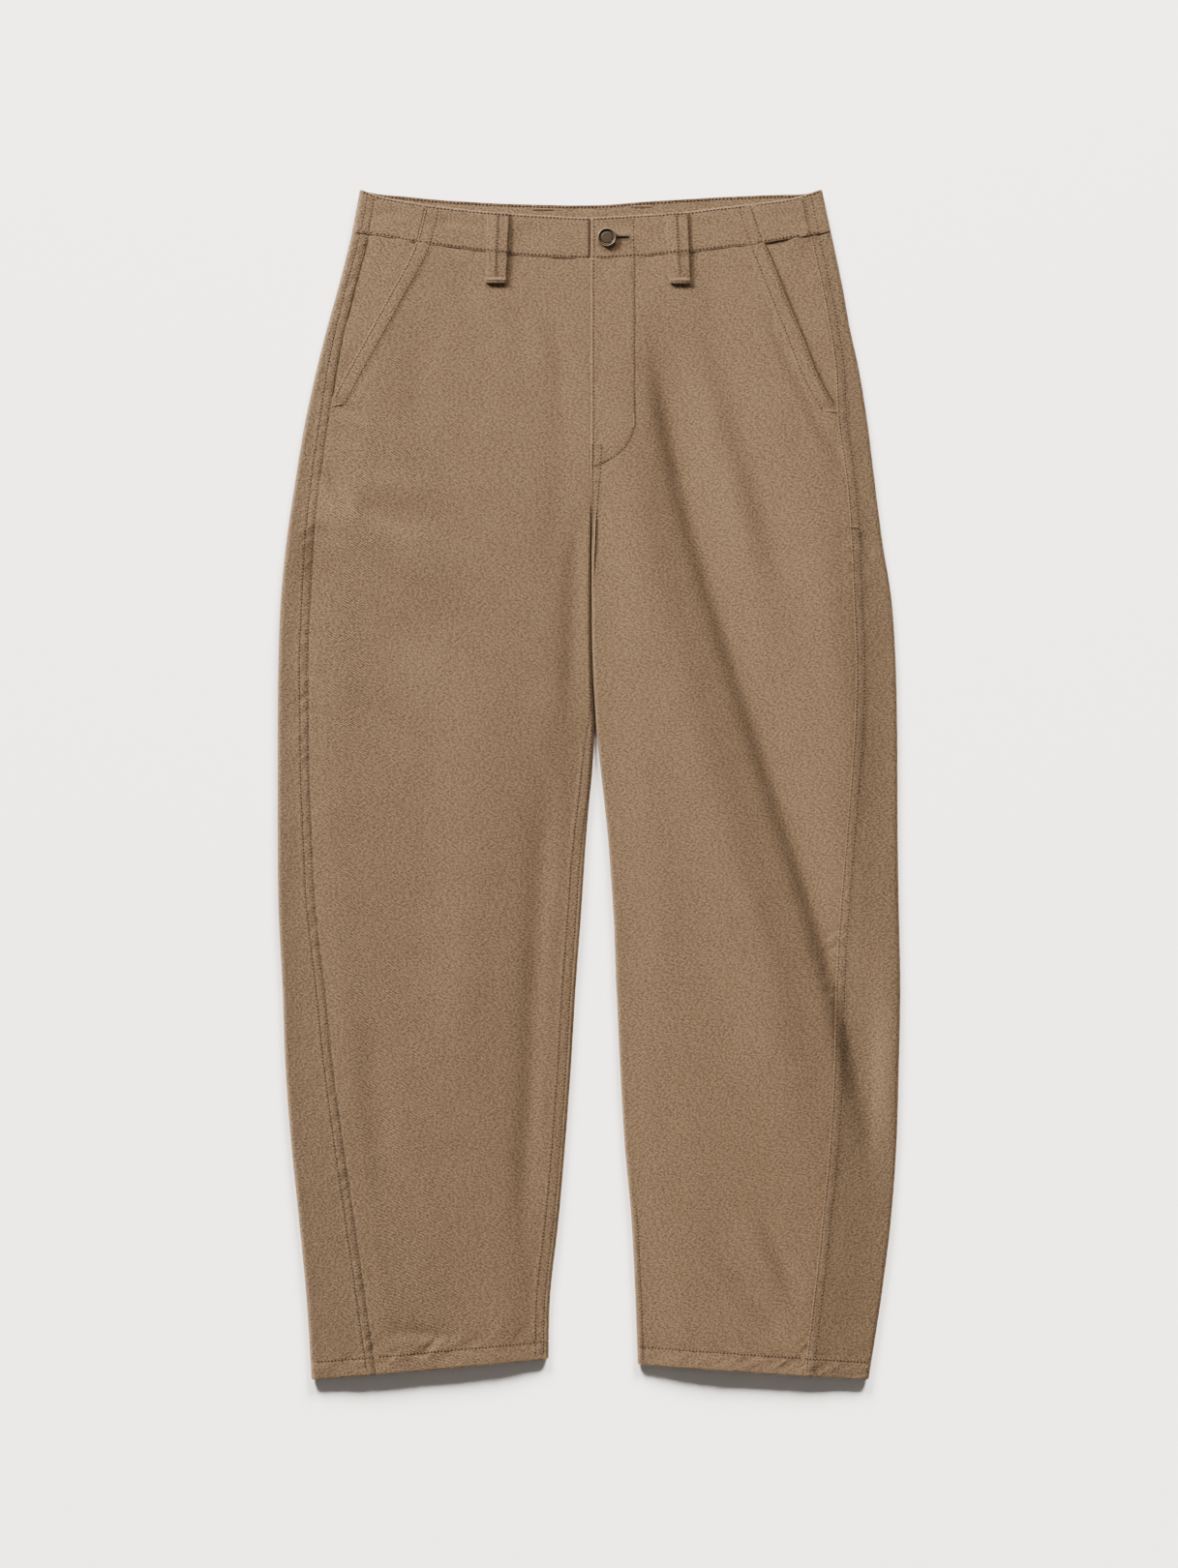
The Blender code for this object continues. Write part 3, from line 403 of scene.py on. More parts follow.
# Creases of the underside: shallow, because it lies on the surface.
UNDER_FOLDS = (
    ("seat_a", -150.0, 250.0, -110.0, 226.0, -70.0, 196.0, -24.0, 176.0, 1.7, 15.0, 17.0, 0.35),
    ("seat_b", 156.0, 262.0, 116.0, 236.0, 74.0, 208.0, 30.0, 190.0, 1.5, 14.0, 16.0, 0.35),
    ("thigh_a", -60.0, 90.0, -90.0, 40.0, -120.0, -20.0, -150.0, -80.0, 1.2, 12.0, 14.0, 0.35),
    ("thigh_b", 66.0, 84.0, 98.0, 30.0, 128.0, -36.0, 166.0, -106.0, 1.4, 13.0, 15.0, 0.35),
    ("knee_a", -216.0, -70.0, -170.0, -96.0, -120.0, -110.0, -70.0, -140.0, 1.1, 10.0, 12.0, 0.35),
    ("knee_b", 222.0, -90.0, 176.0, -118.0, 120.0, -130.0, 76.0, -168.0, 1.3, 11.0, 12.0, 0.35),
    ("calf_a", -110.0, -250.0, -118.0, -310.0, -130.0, -370.0, -136.0, -440.0, 1.2, 11.0, 12.0, 0.35),
    ("calf_b", 130.0, -240.0, 136.0, -310.0, 150.0, -380.0, 160.0, -450.0, 1.0, 11.0, 12.0, 0.35),
)
# Dents of the waistband's front: x, y, depth and reach both ways. The band's colour is also darkened in them, as
# painted shade.
BAND_DENTS = (
    (-175.0, 500.0, 0.75, 15.0, 4.5),
    (-160.0, 489.0, 0.40, 12.0, 5.0),
    (-124.0, 493.0, 0.85, 13.0, 4.5),
    (-101.0, 490.0, 0.65, 8.0, 4.0),
    (-104.0, 477.0, 0.40, 10.0, 5.0),
    (-52.0, 482.0, 0.45, 14.0, 5.5),
    (-22.0, 474.0, 0.35, 12.0, 5.0),
    (30.0, 489.0, 0.80, 10.0, 3.5),
    (4.0, 486.0, 0.50, 6.0, 5.0),
    (58.0, 481.0, 0.35, 9.0, 6.0),
    (108.0, 492.0, 0.80, 10.0, 4.0),
    (124.0, 489.0, 0.55, 8.0, 5.0),
    (135.0, 480.0, 0.35, 8.0, 4.0),
    (170.0, 499.0, 0.55, 12.0, 4.0),
    (190.0, 494.0, 0.60, 8.0, 5.0),
)


def lattice(seed):
    return np.random.default_rng(seed).uniform(-1.0, 1.0, (128, 128))


LATTICES = [lattice(s) for s in range(11, 23)]


def noise(a, b, seed=0):
    """Smooth noise of two coordinates, about -1 to 1, one lump to a unit."""
    table = LATTICES[seed % len(LATTICES)]
    a, b = np.broadcast_arrays(np.asarray(a, float), np.asarray(b, float))
    ia, ib = np.floor(a).astype(int), np.floor(b).astype(int)
    fa, fb = a - ia, b - ib
    fa = fa ** 3 * (fa * (fa * 6 - 15) + 10)
    fb = fb ** 3 * (fb * (fb * 6 - 15) + 10)
    v = lambda i, j: table[(ia + i) % 128, (ib + j) % 128]
    low = v(0, 0) * (1 - fa) + v(1, 0) * fa
    high = v(0, 1) * (1 - fa) + v(1, 1) * fa
    return low * (1 - fb) + high * fb


def bump(d, wide):
    return np.exp(-((d / wide) ** 2))


def furrow(d):
    """The dip that a row of stitches pulls into the cloth, at distance d from it."""
    return -0.30 * bump(d, 1.0)


def soft_inner(leg, y, turn, rows):
    """(u, z) round the inner edge, with the crotch eased over some 26 mm."""
    y, turn = np.broadcast_arrays(np.asarray(y, float), np.asarray(turn, float))
    a = turn * np.pi
    start = leg.inner(y)
    u = start + INNER_R - INNER_R * np.sin(a)
    round_z = INNER_R - INNER_R * np.cos(a)
    shoulder = top_height(leg, start + INNER_R, y, rows)
    valley = 1.7 + (shoulder - 1.7) * ease((y - CROTCH_Y) / (262.0 - CROTCH_Y))
    open_z = np.where(turn >= 0.5, valley + (shoulder - valley) * -np.cos(a), 0.0)
    open_u = np.where(turn >= 0.5, u, start + INNER_R * (1 - 2 * turn))
    above = ease((y - 40.0) / 26.0)
    return u + above * (open_u - u), round_z + above * (open_z - round_z)


def relief_top(leg, u, y):
    """What the looks add to the upper layer's height: creases, undulation and puckers."""
    x = leg.side * u
    d = fold_height(x, y, SMALL_FOLDS)
    d += 0.50 * noise(x / 62.0, y / 120.0, 1) + 0.20 * noise(x / 23.0 + 7, y / 33.0, 2)
    d += 0.09 * noise(x / 8.5, y / 9.5, 3)
    seam = np.abs(leg.outseam(y) - u)
    along = 0.55 + 0.45 * noise(y / 55.0, x * 0 + leg.side * 3, 4)
    d += 0.52 * along * noise(y / 4.4 + seam * 0.16, seam / 12.0 + leg.side * 9, 5) * bump(seam - 4.0, 8.0)
    d += 0.16 * along * noise(y / 13.0 + seam * 0.05, seam / 30.0, 6) * bump(seam, 24.0)
    edge = np.abs(u - leg.inner(y))
    below = ease((30.0 - y) / 60.0)
    d += below * 0.24 * noise(y / 6.0 - edge * 0.08, edge / 12.0 + 5, 7) * bump(edge - 6.0, 9.0)
    hem = y - leg.hem(u)
    d += 0.66 * noise((x * leg.side + 0.9 * hem) / 7.5, hem / 14.0, 8) * bump(hem - 18.0, 10.0)
    d += 0.42 * noise((x * leg.side - 1.4 * hem) / 5.0, hem / 9.0, 9) * ease((HEM_DEPTH - 1 - hem) / 3.0)
    waist = front_base(x) - y
    d += 0.34 * noise(x / 7.0 + waist * 0.06, waist / 10.0, 10) * bump(waist, 9.0)
    d += 0.26 * noise(x / 17.0, waist / 26.0, 11) * bump(waist - 6.0, 26.0)
    return d


def relief_under(x, y):
    """The underside's creases, always up and away from the surface."""
    d = 0.10 + 0.10 * noise(x / 26.0, y / 34.0, 2) + 0.12 * noise(x / 70.0, y / 110.0, 1) + 0.04 * noise(x / 9.0, y / 10.0, 3)
    return d + fold_height(x, y, UNDER_FOLDS)


def normals(grid):
    """Unit normals of a grid of points."""
    a = np.gradient(grid, axis=0)
    b = np.gradient(grid, axis=1)
    n = np.cross(a, b)
    return n / np.maximum(np.linalg.norm(n, axis=-1, keepdims=True), 1e-9)


def unit(v):
    return v / np.maximum(np.linalg.norm(v, axis=-1, keepdims=True), 1e-9)


def edge_strip(points, away, normal, profile):
    """Rows of points beside a border: profile gives steps (away, normal) in order."""
    profile = np.asarray(profile, float)
    if profile.ndim == 2:
        profile = np.broadcast_to(profile, (len(points),) + profile.shape)
    return points[:, None] + away[:, None] * profile[..., :1] + normal[:, None] * profile[..., 1:]


def lip(r, tuck, steps=6):
    """Profile of a turned edge: round through half a circle, then back under the cloth."""
    a = np.linspace(0, np.pi, steps + 1)[1:]
    return [(r * np.sin(t), -r * (1 - np.cos(t))) for t in a] + [(-tuck, -2 * r)]


def dive(reach, steps=7, drop=1.25):
    """Profile of an edge that goes on under its neighbour."""
    t = np.linspace(0, 1, steps + 1)[1:]
    return [(reach * q, -0.5 - (drop - 0.5) * ease(q * 1.6)) for q in t]


def finish_grid(base, relief, left, right, top, bottom, up):
    """Adds relief along the normals, then the four borders' profiles.
    left and right are profiles beside the first and last column, top and bottom
    beside the first and last row. Returns the whole grid."""
    n = normals(base)
    if (n[..., 2].mean() < 0) == up:
        n = -n
    grid = base + n * relief[..., None]
    away_l = unit(base[:, 0] - base[:, 2])
    away_r = unit(base[:, -1] - base[:, -3])
    parts = []
    if left is not None:
        parts.append(edge_strip(grid[:, 0], away_l, n[:, 0], left)[:, ::-1])
    parts.append(grid)
    if right is not None:
        parts.append(edge_strip(grid[:, -1], away_r, n[:, -1], right))
    wide = np.concatenate(parts, axis=1)
    count_l = 0 if left is None else parts[0].shape[1]
    count_r = 0 if right is None else parts[-1].shape[1]
    nn = np.pad(n, ((0, 0), (count_l, count_r), (0, 0)), mode="edge")
    rows = [wide]
    if top is not None:
        away = unit(np.pad(base[0] - base[2], ((count_l, count_r), (0, 0)), mode="edge"))
        rows.insert(0, np.swapaxes(edge_strip(wide[0], away, nn[0], top)[:, ::-1], 0, 1))
    if bottom is not None:
        away = unit(np.pad(base[-1] - base[-3], ((count_l, count_r), (0, 0)), mode="edge"))
        rows.append(np.swapaxes(edge_strip(wide[-1], away, nn[-1], bottom), 0, 1))
    return np.concatenate(rows, axis=0)


def mesh_object(name, verts, faces, mat, uvs=None, tone=None, smooth=True):
    """verts in millimetres, faces an int array of quads or triangles."""
    verts = np.asarray(verts, np.float64)
    faces = np.asarray(faces, np.int32)
    mesh = bpy.data.meshes.new(name)
    count, k = faces.shape
    mesh.vertices.add(len(verts))
    mesh.vertices.foreach_set("co", (verts * MM).astype(np.float32).ravel())
    mesh.loops.add(count * k)
    mesh.loops.foreach_set("vertex_index", faces.ravel())
    mesh.polygons.add(count)
    mesh.polygons.foreach_set("loop_start", np.arange(0, count * k, k, dtype=np.int32))
    if uvs is not None:
        layer = mesh.uv_layers.new(name="cloth")
        layer.data.foreach_set("uv", np.asarray(uvs, np.float32)[faces.ravel()].ravel())
    if tone is not None:
        attribute = mesh.attributes.new("tone", "FLOAT", "POINT")
        attribute.data.foreach_set("value", np.asarray(tone, np.float32))
    mesh.update()
    mesh.validate()
    if smooth:
        mesh.shade_smooth()
    obj = bpy.data.objects.new(name, mesh)
    bpy.context.scene.collection.objects.link(obj)
    mesh.materials.append(mat)
    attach(obj, "root")
    return obj


SURFACES = {}          # name -> (verts, faces) for laying stitches on
AREAS = {}             # name -> area of the cloth, square metres


def grid_faces(rows, cols, flip, closed=False):
    r = np.arange(rows - (0 if closed else 1))[:, None] * cols
    c = np.arange(cols - 1)[None]
    a = (r + c).ravel()
    b = a + 1
    d = ((r + cols) % (rows * cols) + c).ravel()
    e = d + 1
    return np.stack([a, d, e, b] if flip else [a, b, e, d], axis=1)


def cloth_object(name, grid, side, mat, up, grain=(0.0, 0.0), tone=None, closed=False, stitchable=True):
    """A shell from a grid whose column 0 is u, outward from x = 0, on that side."""
    grid = np.array(grid, float)
    grid[..., 0] *= side
    rows, cols = grid.shape[:2]
    n = normals(grid)
    flip = (n[..., 2].mean() > 0) != up
    along = np.concatenate([np.zeros((rows, 1)), np.cumsum(np.linalg.norm(np.diff(grid, axis=1), axis=-1), axis=1)], axis=1)
    down = np.concatenate([np.zeros((1, cols)), np.cumsum(np.linalg.norm(np.diff(grid, axis=0), axis=-1), axis=0)], axis=0)
    uvs = np.stack([along * side + grain[0], grain[1] - down], axis=-1).reshape(-1, 2) / 10.0
    faces = grid_faces(rows, cols, flip, closed)
    verts = grid.reshape(-1, 3)
    if tone is None:
        tone = np.zeros((rows, cols))
    obj = mesh_object(name, verts, faces, mat, uvs, np.asarray(tone).reshape(-1))
    if stitchable:
        SURFACES[name] = (verts, faces)
    p = verts[faces]
    AREAS[name] = 0.5e-6 * (np.linalg.norm(np.cross(p[:, 1] - p[:, 0], p[:, 2] - p[:, 0]), axis=1) + np.linalg.norm(np.cross(p[:, 2] - p[:, 0], p[:, 3] - p[:, 0]), axis=1)).sum()
    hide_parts(name)
    return obj


# ---------------------------------------------------------------------------
# Materials
# ---------------------------------------------------------------------------
def node_material(name, rough, sheen=0.0, metallic=0.0):
    m = bpy.data.materials.new(name)
    m.use_nodes = True
    nodes, links = m.node_tree.nodes, m.node_tree.links
    shader = nodes["Principled BSDF"]
    shader.inputs["Roughness"].default_value = rough
    shader.inputs["Metallic"].default_value = metallic
    shader.inputs["Sheen Weight"].default_value = sheen
    shader.inputs["Sheen Roughness"].default_value = 0.6
    shader.inputs["Specular IOR Level"].default_value = 0.18 if metallic == 0 else 0.5
    return m, nodes, links, shader


def twill(name, colour, grain=1.0):
    """Cotton twill, washed: diagonal ribs, uneven yarns, mottled dye, and the tone attribute, which holds paler worn
    edges, painted shade and painted light.
    The UVs are centimetres of cloth."""
    m, nodes, links, shader = node_material(name, 0.93, sheen=0.10)
    uv = nodes.new("ShaderNodeUVMap")
    uv.uv_map = "cloth"

    def tex(kind, scale, **more):
        t = nodes.new(kind)
        t.inputs["Scale"].default_value = scale
        for key, value in more.items():
            t.inputs[key].default_value = value
        return t

    def math(op, a, b, clamp=False):
        n = nodes.new("ShaderNodeMath")
        n.operation = op
        n.use_clamp = clamp
        for i, v in enumerate((a, b)):
            if isinstance(v, (int, float)):
                n.inputs[i].default_value = v
            else:
                links.new(v, n.inputs[i])
        return n.outputs[0]

    def mapped(angle, stretch):
        n = nodes.new("ShaderNodeMapping")
        n.inputs["Rotation"].default_value = (0.0, 0.0, angle)
        n.inputs["Scale"].default_value = (*stretch, 1.0)
        links.new(uv.outputs[0], n.inputs["Vector"])
        return n.outputs[0]

    speck = tex("ShaderNodeTexNoise", 4.4, Detail=3.0, Roughness=0.7)
    links.new(mapped(0.6, (1.0, 1.6)), speck.inputs["Vector"])
    fleck = tex("ShaderNodeTexNoise", 9.0, Detail=2.0, Roughness=0.6)
    links.new(mapped(-0.9, (1.0, 2.4)), fleck.inputs["Vector"])
    cloudy = tex("ShaderNodeTexNoise", 0.42, Detail=3.0, Roughness=0.55)
    links.new(uv.outputs[0], cloudy.inputs["Vector"])
    patch_ = tex("ShaderNodeTexNoise", 1.5, Detail=2.0, Roughness=0.5)
    links.new(mapped(0.4, (1.0, 0.6)), patch_.inputs["Vector"])
    ribs = tex("ShaderNodeTexWave", 2.7, Distortion=1.4, Detail=1.0)
    ribs.inputs["Detail Scale"].default_value = 1.6
    ribs.wave_type = "BANDS"
    ribs.bands_direction = "X"
    links.new(mapped(1.02, (1.0, 1.0)), ribs.inputs["Vector"])
    tone = nodes.new("ShaderNodeAttribute")
    tone.attribute_name = "tone"

    value = math("MULTIPLY", math("SUBTRACT", speck.outputs["Fac"], 0.5), 4.4 * grain)
    value = math("ADD", value, math("MULTIPLY", math("SUBTRACT", fleck.outputs["Fac"], 0.5), 3.0 * grain))
    value = math("ADD", value, math("MULTIPLY", math("SUBTRACT", cloudy.outputs["Fac"], 0.5), 0.20))
    value = math("ADD", value, math("MULTIPLY", math("SUBTRACT", patch_.outputs["Fac"], 0.5), 0.16))
    value = math("ADD", value, math("MULTIPLY", math("SUBTRACT", ribs.outputs["Fac"], 0.5), 0.13 * grain))
    # the tone attribute: paler worn edges, painted shade in grooves, dents and under edges, and painted light and shade
    # on puckers
    value = math("ADD", value, tone.outputs["Fac"])
    ramp = nodes.new("ShaderNodeValToRGB")
    ramp.color_ramp.interpolation = "LINEAR"
    dark = tuple(c * k for c, k in zip(colour, (0.50, 0.48, 0.45)))
    light = tuple(min(1.0, c * k) for c, k in zip(colour, (1.50, 1.52, 1.56)))
    ramp.color_ramp.elements[0].color = (*dark, 1.0)
    ramp.color_ramp.elements[1].color = (*light, 1.0)
    middle = ramp.color_ramp.elements.new(0.5)
    middle.color = (*colour, 1.0)
    links.new(math("ADD", value, 0.5, clamp=True), ramp.inputs[0])
    links.new(ramp.outputs["Color"], shader.inputs["Base Color"])

    height = math("ADD", math("MULTIPLY", ribs.outputs["Fac"], 0.5), math("MULTIPLY", fleck.outputs["Fac"], 0.7))
    height = math("ADD", height, math("MULTIPLY", speck.outputs["Fac"], 1.3))
    relief = nodes.new("ShaderNodeBump")
    relief.inputs["Strength"].default_value = 1.0
    relief.inputs["Distance"].default_value = 0.0008
    links.new(height, relief.inputs["Height"])
    links.new(relief.outputs["Normal"], shader.inputs["Normal"])
    return m


def thread_material(name, colour, scale=900.0):
    m, nodes, links, shader = node_material(name, 0.72, sheen=0.15)
    coords = nodes.new("ShaderNodeTexCoord")
    twist = nodes.new("ShaderNodeTexNoise")
    twist.inputs["Scale"].default_value = scale
    twist.inputs["Detail"].default_value = 2.0
    links.new(coords.outputs["Object"], twist.inputs["Vector"])
    ramp = nodes.new("ShaderNodeValToRGB")
    ramp.color_ramp.elements[0].position = 0.3
    ramp.color_ramp.elements[0].color = (*[c * 0.62 for c in colour], 1.0)
    ramp.color_ramp.elements[1].position = 0.7
    ramp.color_ramp.elements[1].color = (*[min(1.0, c * 1.25) for c in colour], 1.0)
    links.new(twist.outputs["Fac"], ramp.inputs[0])
    links.new(ramp.outputs["Color"], shader.inputs["Base Color"])
    return m


CLOTH_COLOUR = (0.250, 0.157, 0.085)
TWILL = twill("twill", CLOTH_COLOUR)
# The twill darkened to 0.93, as painted shade, for the fly shield and the zip tape under the fly.
TWILL_SHADED = twill("twill_inside", tuple(c * 0.93 for c in CLOTH_COLOUR))
THREAD = thread_material("thread_tan", (0.262, 0.166, 0.092))
THREAD_DARK = thread_material("thread_brown", (0.120, 0.070, 0.036))
# Near-black for the needle holes and the buttonhole's slit: painted shade.
HOLE_SHADE = thread_material("needle_holes", (0.026, 0.014, 0.007))


# ---------------------------------------------------------------------------
# Panels
# ---------------------------------------------------------------------------
ROWS = np.concatenate([np.linspace(472.0, 440.0, 26), np.linspace(438.4, -478.0, 510), np.linspace(-479.0, -511.2, 30)])
NEAR_INNER = np.array([0.6, 1.2, 1.8, 2.4, 3.1, 4.2, 5.6, 7.0, 8.0, 8.8, 9.5, 10.2, 11.2, 12.6, 14.5])
NEAR_OUTER = np.array([15.5, 13.8, 12.6, 11.9, 11.2, 10.2, 8.2, 6.2, 4.6, 3.3, 2.4, 1.8, 1.2, 0.6, 0.0])
J_LINE = ((39.4, 470.0), (39.4, 400.0), (39.4, 330.0), (38.6, 313.0), (35.6, 302.0), (30.0, 293.6), (22.6, 287.2), (12.0, 281.4), (1.8, 277.0))


def to_line(x, y, line):
    """Distance to a polyline."""
    best = np.full(np.broadcast(x, y).shape, 1e9)
    for (ax, ay), (bx, by) in zip(line[:-1], line[1:]):
        dx, dy = bx - ax, by - ay
        q = np.clip(((x - ax) * dx + (y - ay) * dy) / (dx * dx + dy * dy), 0, 1)
        best = np.minimum(best, np.hypot(x - ax - q * dx, y - ay - q * dy))
    return best


def column_y(leg, u_of, on_top):
    """The rows' actual y in one column."""
    y = ROWS.copy()
    for _ in range(3):
        y = row_levels(leg, ROWS, u_of(y), on_top)
    return y


def stack(columns):
    return np.stack([np.stack([u, y, z], axis=-1) for u, y, z in columns], axis=1)


def profile_mix(a, b, share):
    """Two border profiles of equal length blended row by row."""
    a, b = np.asarray(a, float)[None], np.asarray(b, float)[None]
    s = np.asarray(share, float)[:, None, None]
    return a * (1 - s) + b * s


def hem_relief(leg, u, y):
    hem = y - leg.hem(u)
    return 0.35 * (1 - ease((hem - HEM_DEPTH - 0.5) / 3.0)) + furrow(hem - HEM_DEPTH)


def front_look(leg):
    s = leg.side
    columns = []
    turns = []
    for q in np.linspace(0, 1, 9):
        turn = lambda y: leg.seam_turn(y) + (1.0 - leg.seam_turn(y)) * q
        u_of = lambda y: soft_inner(leg, y, turn(y), MAIN_FOLDS)[0]
        y = column_y(leg, u_of, 1.0)
        u, z = soft_inner(leg, y, turn(y), MAIN_FOLDS)
        columns.append((u, y, z))
    border = lambda y: leg.front_edge(y) - LIP * ease((y - leg.mouth_end) / 8.0)
    start = lambda y: leg.inner(y) + INNER_R
    across = [("in", d) for d in NEAR_INNER] + [("mid", q) for q in np.linspace(0, 1, 80)[1:-1]] + [("out", d) for d in NEAR_OUTER]
    for kind, v in across:
        def u_of(y):
            lo, hi = start(y) + NEAR_INNER[-1], border(y) - NEAR_OUTER[0]
            return start(y) + v if kind == "in" else border(y) - v if kind == "out" else lo + v * (hi - lo)

        y = column_y(leg, u_of, 1.0)
        u = u_of(y)
        columns.append((u, y, top_height(leg, u, y)))
    base = stack(columns)
    u, y = base[..., 0], base[..., 1]
    x = s * u
    relief = relief_top(leg, u, y)
    seam_u = soft_inner(leg, y, leg.seam_turn(y), MAIN_FOLDS)[0]
    # outer border: the pocket mouth's two rows, then under the back panel
    out = (leg.front_edge(y) - u) * 0.91
    mouth = ease((y - leg.mouth_end) / 8.0)
    relief += mouth * (0.75 * (1 - ease((out - 11.6) / 3.5)) + furrow(out - 1.6) + furrow(out - 11.2))
    relief -= (1 - mouth) * 0.15 * ease((2.6 - out) / 2.6)
    # paler worn edge at the pocket mouth; painted shade along the border that goes under the back panel
    tone = 0.24 * mouth * bump(out - 0.3, 0.9) - 0.03 * (1 - mouth) * bump(out, 1.2)
    # waist: under the band
    waist = front_base(x) - y
    relief -= 0.12 * ease((2.5 - waist) / 2.5) + 1.6 * ease(-(waist + 0.4) / 2.0)
    # painted shade on the panel just under the band's edge
    tone = tone - 0.05 * bump(waist - 0.5, 1.5)
    # inner border
    inn = u - seam_u
    if s < 0:
        low = ease((48.0 - y) / 20.0)
        far = inseam_far(y)
        relief += low * 0.55 * (1 - ease((inn - far - 0.5) / 3.0)) + ease((92.0 - y) / 4.0) * furrow(inn - far) + ease((70.0 - y) / 4.0) * furrow(inn - 2.4)
        high = ease((y - 50.0) / 14.0)
        relief -= high * 0.2 * ease((2.6 - (u - leg.inner(y))) / 2.6)
        # paler worn edge at the inseam low down; above the crotch, painted shade along the inner edge where it goes
        # under
        tone = tone + 0.20 * low * bump(inn - 0.3, 1.0) - 0.07 * high * bump(u - leg.inner(y), 1.6)
        left = profile_mix(lip(LIP, 3.0), dive(7.0, 7, 1.6), ease((y[:, 0] - 50.0) / 14.0))
    else:
        fly = ease((y - 268.0) / 6.0)
        j = to_line(x, y, J_LINE)
        relief += fly * 0.45 * ease((j_side(x, y) + 1.5) / 4.0) + furrow(j) * ease((y - 274.0) / 3.0)
        relief += furrow(inn - 1.9) * fly
        rows_low = ease((300.0 - y) / 3.0) * ease((y - 205.0) / 60.0)
        relief += rows_low * (furrow(x - crotch_row(y, 0)) + furrow(x - crotch_row(y, 1)) + 0.35 * (1 - ease((x - crotch_row(y, 1) - 0.5) / 2.5)))
        cuff = ease((-384.0 - y) / 30.0)
        relief += cuff * furrow(u - leg.inner(y) - 5.2)
        tone = tone + (0.10 + 0.14 * fly) * bump(inn - 0.2, 0.9)
        left = profile_mix(lip(LIP, 3.0), lip(0.8, 3.0), fly[:, 0])
    relief += hem_relief(leg, u, y)
    hem = y - leg.hem(u)
    # paler worn edge at the hem's fold, the hem band a little paler, and painted shade in the groove above the hem
    tone = tone + 0.10 * bump(hem, 1.2) - 0.08 * bump(hem - HEM_DEPTH - 0.8, 1.2) + 0.05 * ease((HEM_DEPTH - hem) / 1.5)
    # painted light and shade near the hem: lighter where the puckers face the waist side, darker where they face the
    # hem
    tone = tone + 0.16 * (relief_top(leg, u, y) - relief_top(leg, u, y + 3.0)) * bump(hem - 15.0, 14.0)
    right = profile_mix(dive(6.0, 7, 1.3), lip(LIP, 3.0), ease((y[:, -1] - leg.mouth_end) / 8.0))
    grid = finish_grid(base, relief, left, right, None, lip(1.2, HEM_DEPTH, 7), True)
    grid[..., 2] = np.maximum(grid[..., 2], 1.1)
    full = pad_tone(tone, grid.shape[:2], 7, 7, 0, 8)
    return cloth_object("front_panel_" + leg.name, grid, s, TWILL, True, (s * 40.0, 0.0), full)


def j_side(x, y):
    """Distance inside the fly stitching, negative outside it."""
    d = to_line(x, y, J_LINE)
    edge = np.interp(y, [p[1] for p in reversed(J_LINE)], [p[0] for p in reversed(J_LINE)])
    return np.where((x < edge) & (y > 277.0), d, -d)


def inseam_far(y):
    """How far the second row of stitches runs from the right leg's inseam."""
    return 2.4 + 7.1 * ease((88.0 - y) / 80.0)


def crotch_row(y, which):
    """x of the two rows of stitches beside the crotch seam."""
    t = ease((298.0 - y) / 90.0)
    return (3.2 if which == 0 else 10.7) - t * (0.4 if which == 0 else 5.2)


def pad_tone(tone, shape, left, right, top, bottom):
    return np.pad(tone, ((top, bottom), (left, right)), mode="edge")


def back_turn(leg, y):
    """The inseam's place round the inner edge; above the crotch the back stays low."""
    turn = leg.seam_turn(y)
    return np.where(y > 40.0, np.minimum(turn, 0.499), turn)


def under_front(leg, y, past):
    """Where the back panel goes on beyond its seam, under its neighbour."""
    turn = leg.seam_turn(y) + past
    a = np.minimum(turn, 1.0)
    u, z = soft_inner(leg, np.minimum(y, 40.0), a, MAIN_FOLDS)
    u = soft_inner(leg, y, a, MAIN_FOLDS)[0] + np.maximum(turn - 1.0, 0) * np.pi * INNER_R
    sink = 1.4 * ease(past / 0.1)
    tilt = a * np.pi
    u, z = u + sink * np.sin(tilt), z + sink * np.cos(tilt)
    above = ease((y - 40.0) / 26.0)
    flat_u = leg.inner(y) - past * 16.0
    flat_z = LIFT + (1.5 if leg.side < 0 else 0.0) * ease(past / 0.1)
    return u + above * (flat_u - u), np.maximum(z + above * (flat_z - z), LIFT)


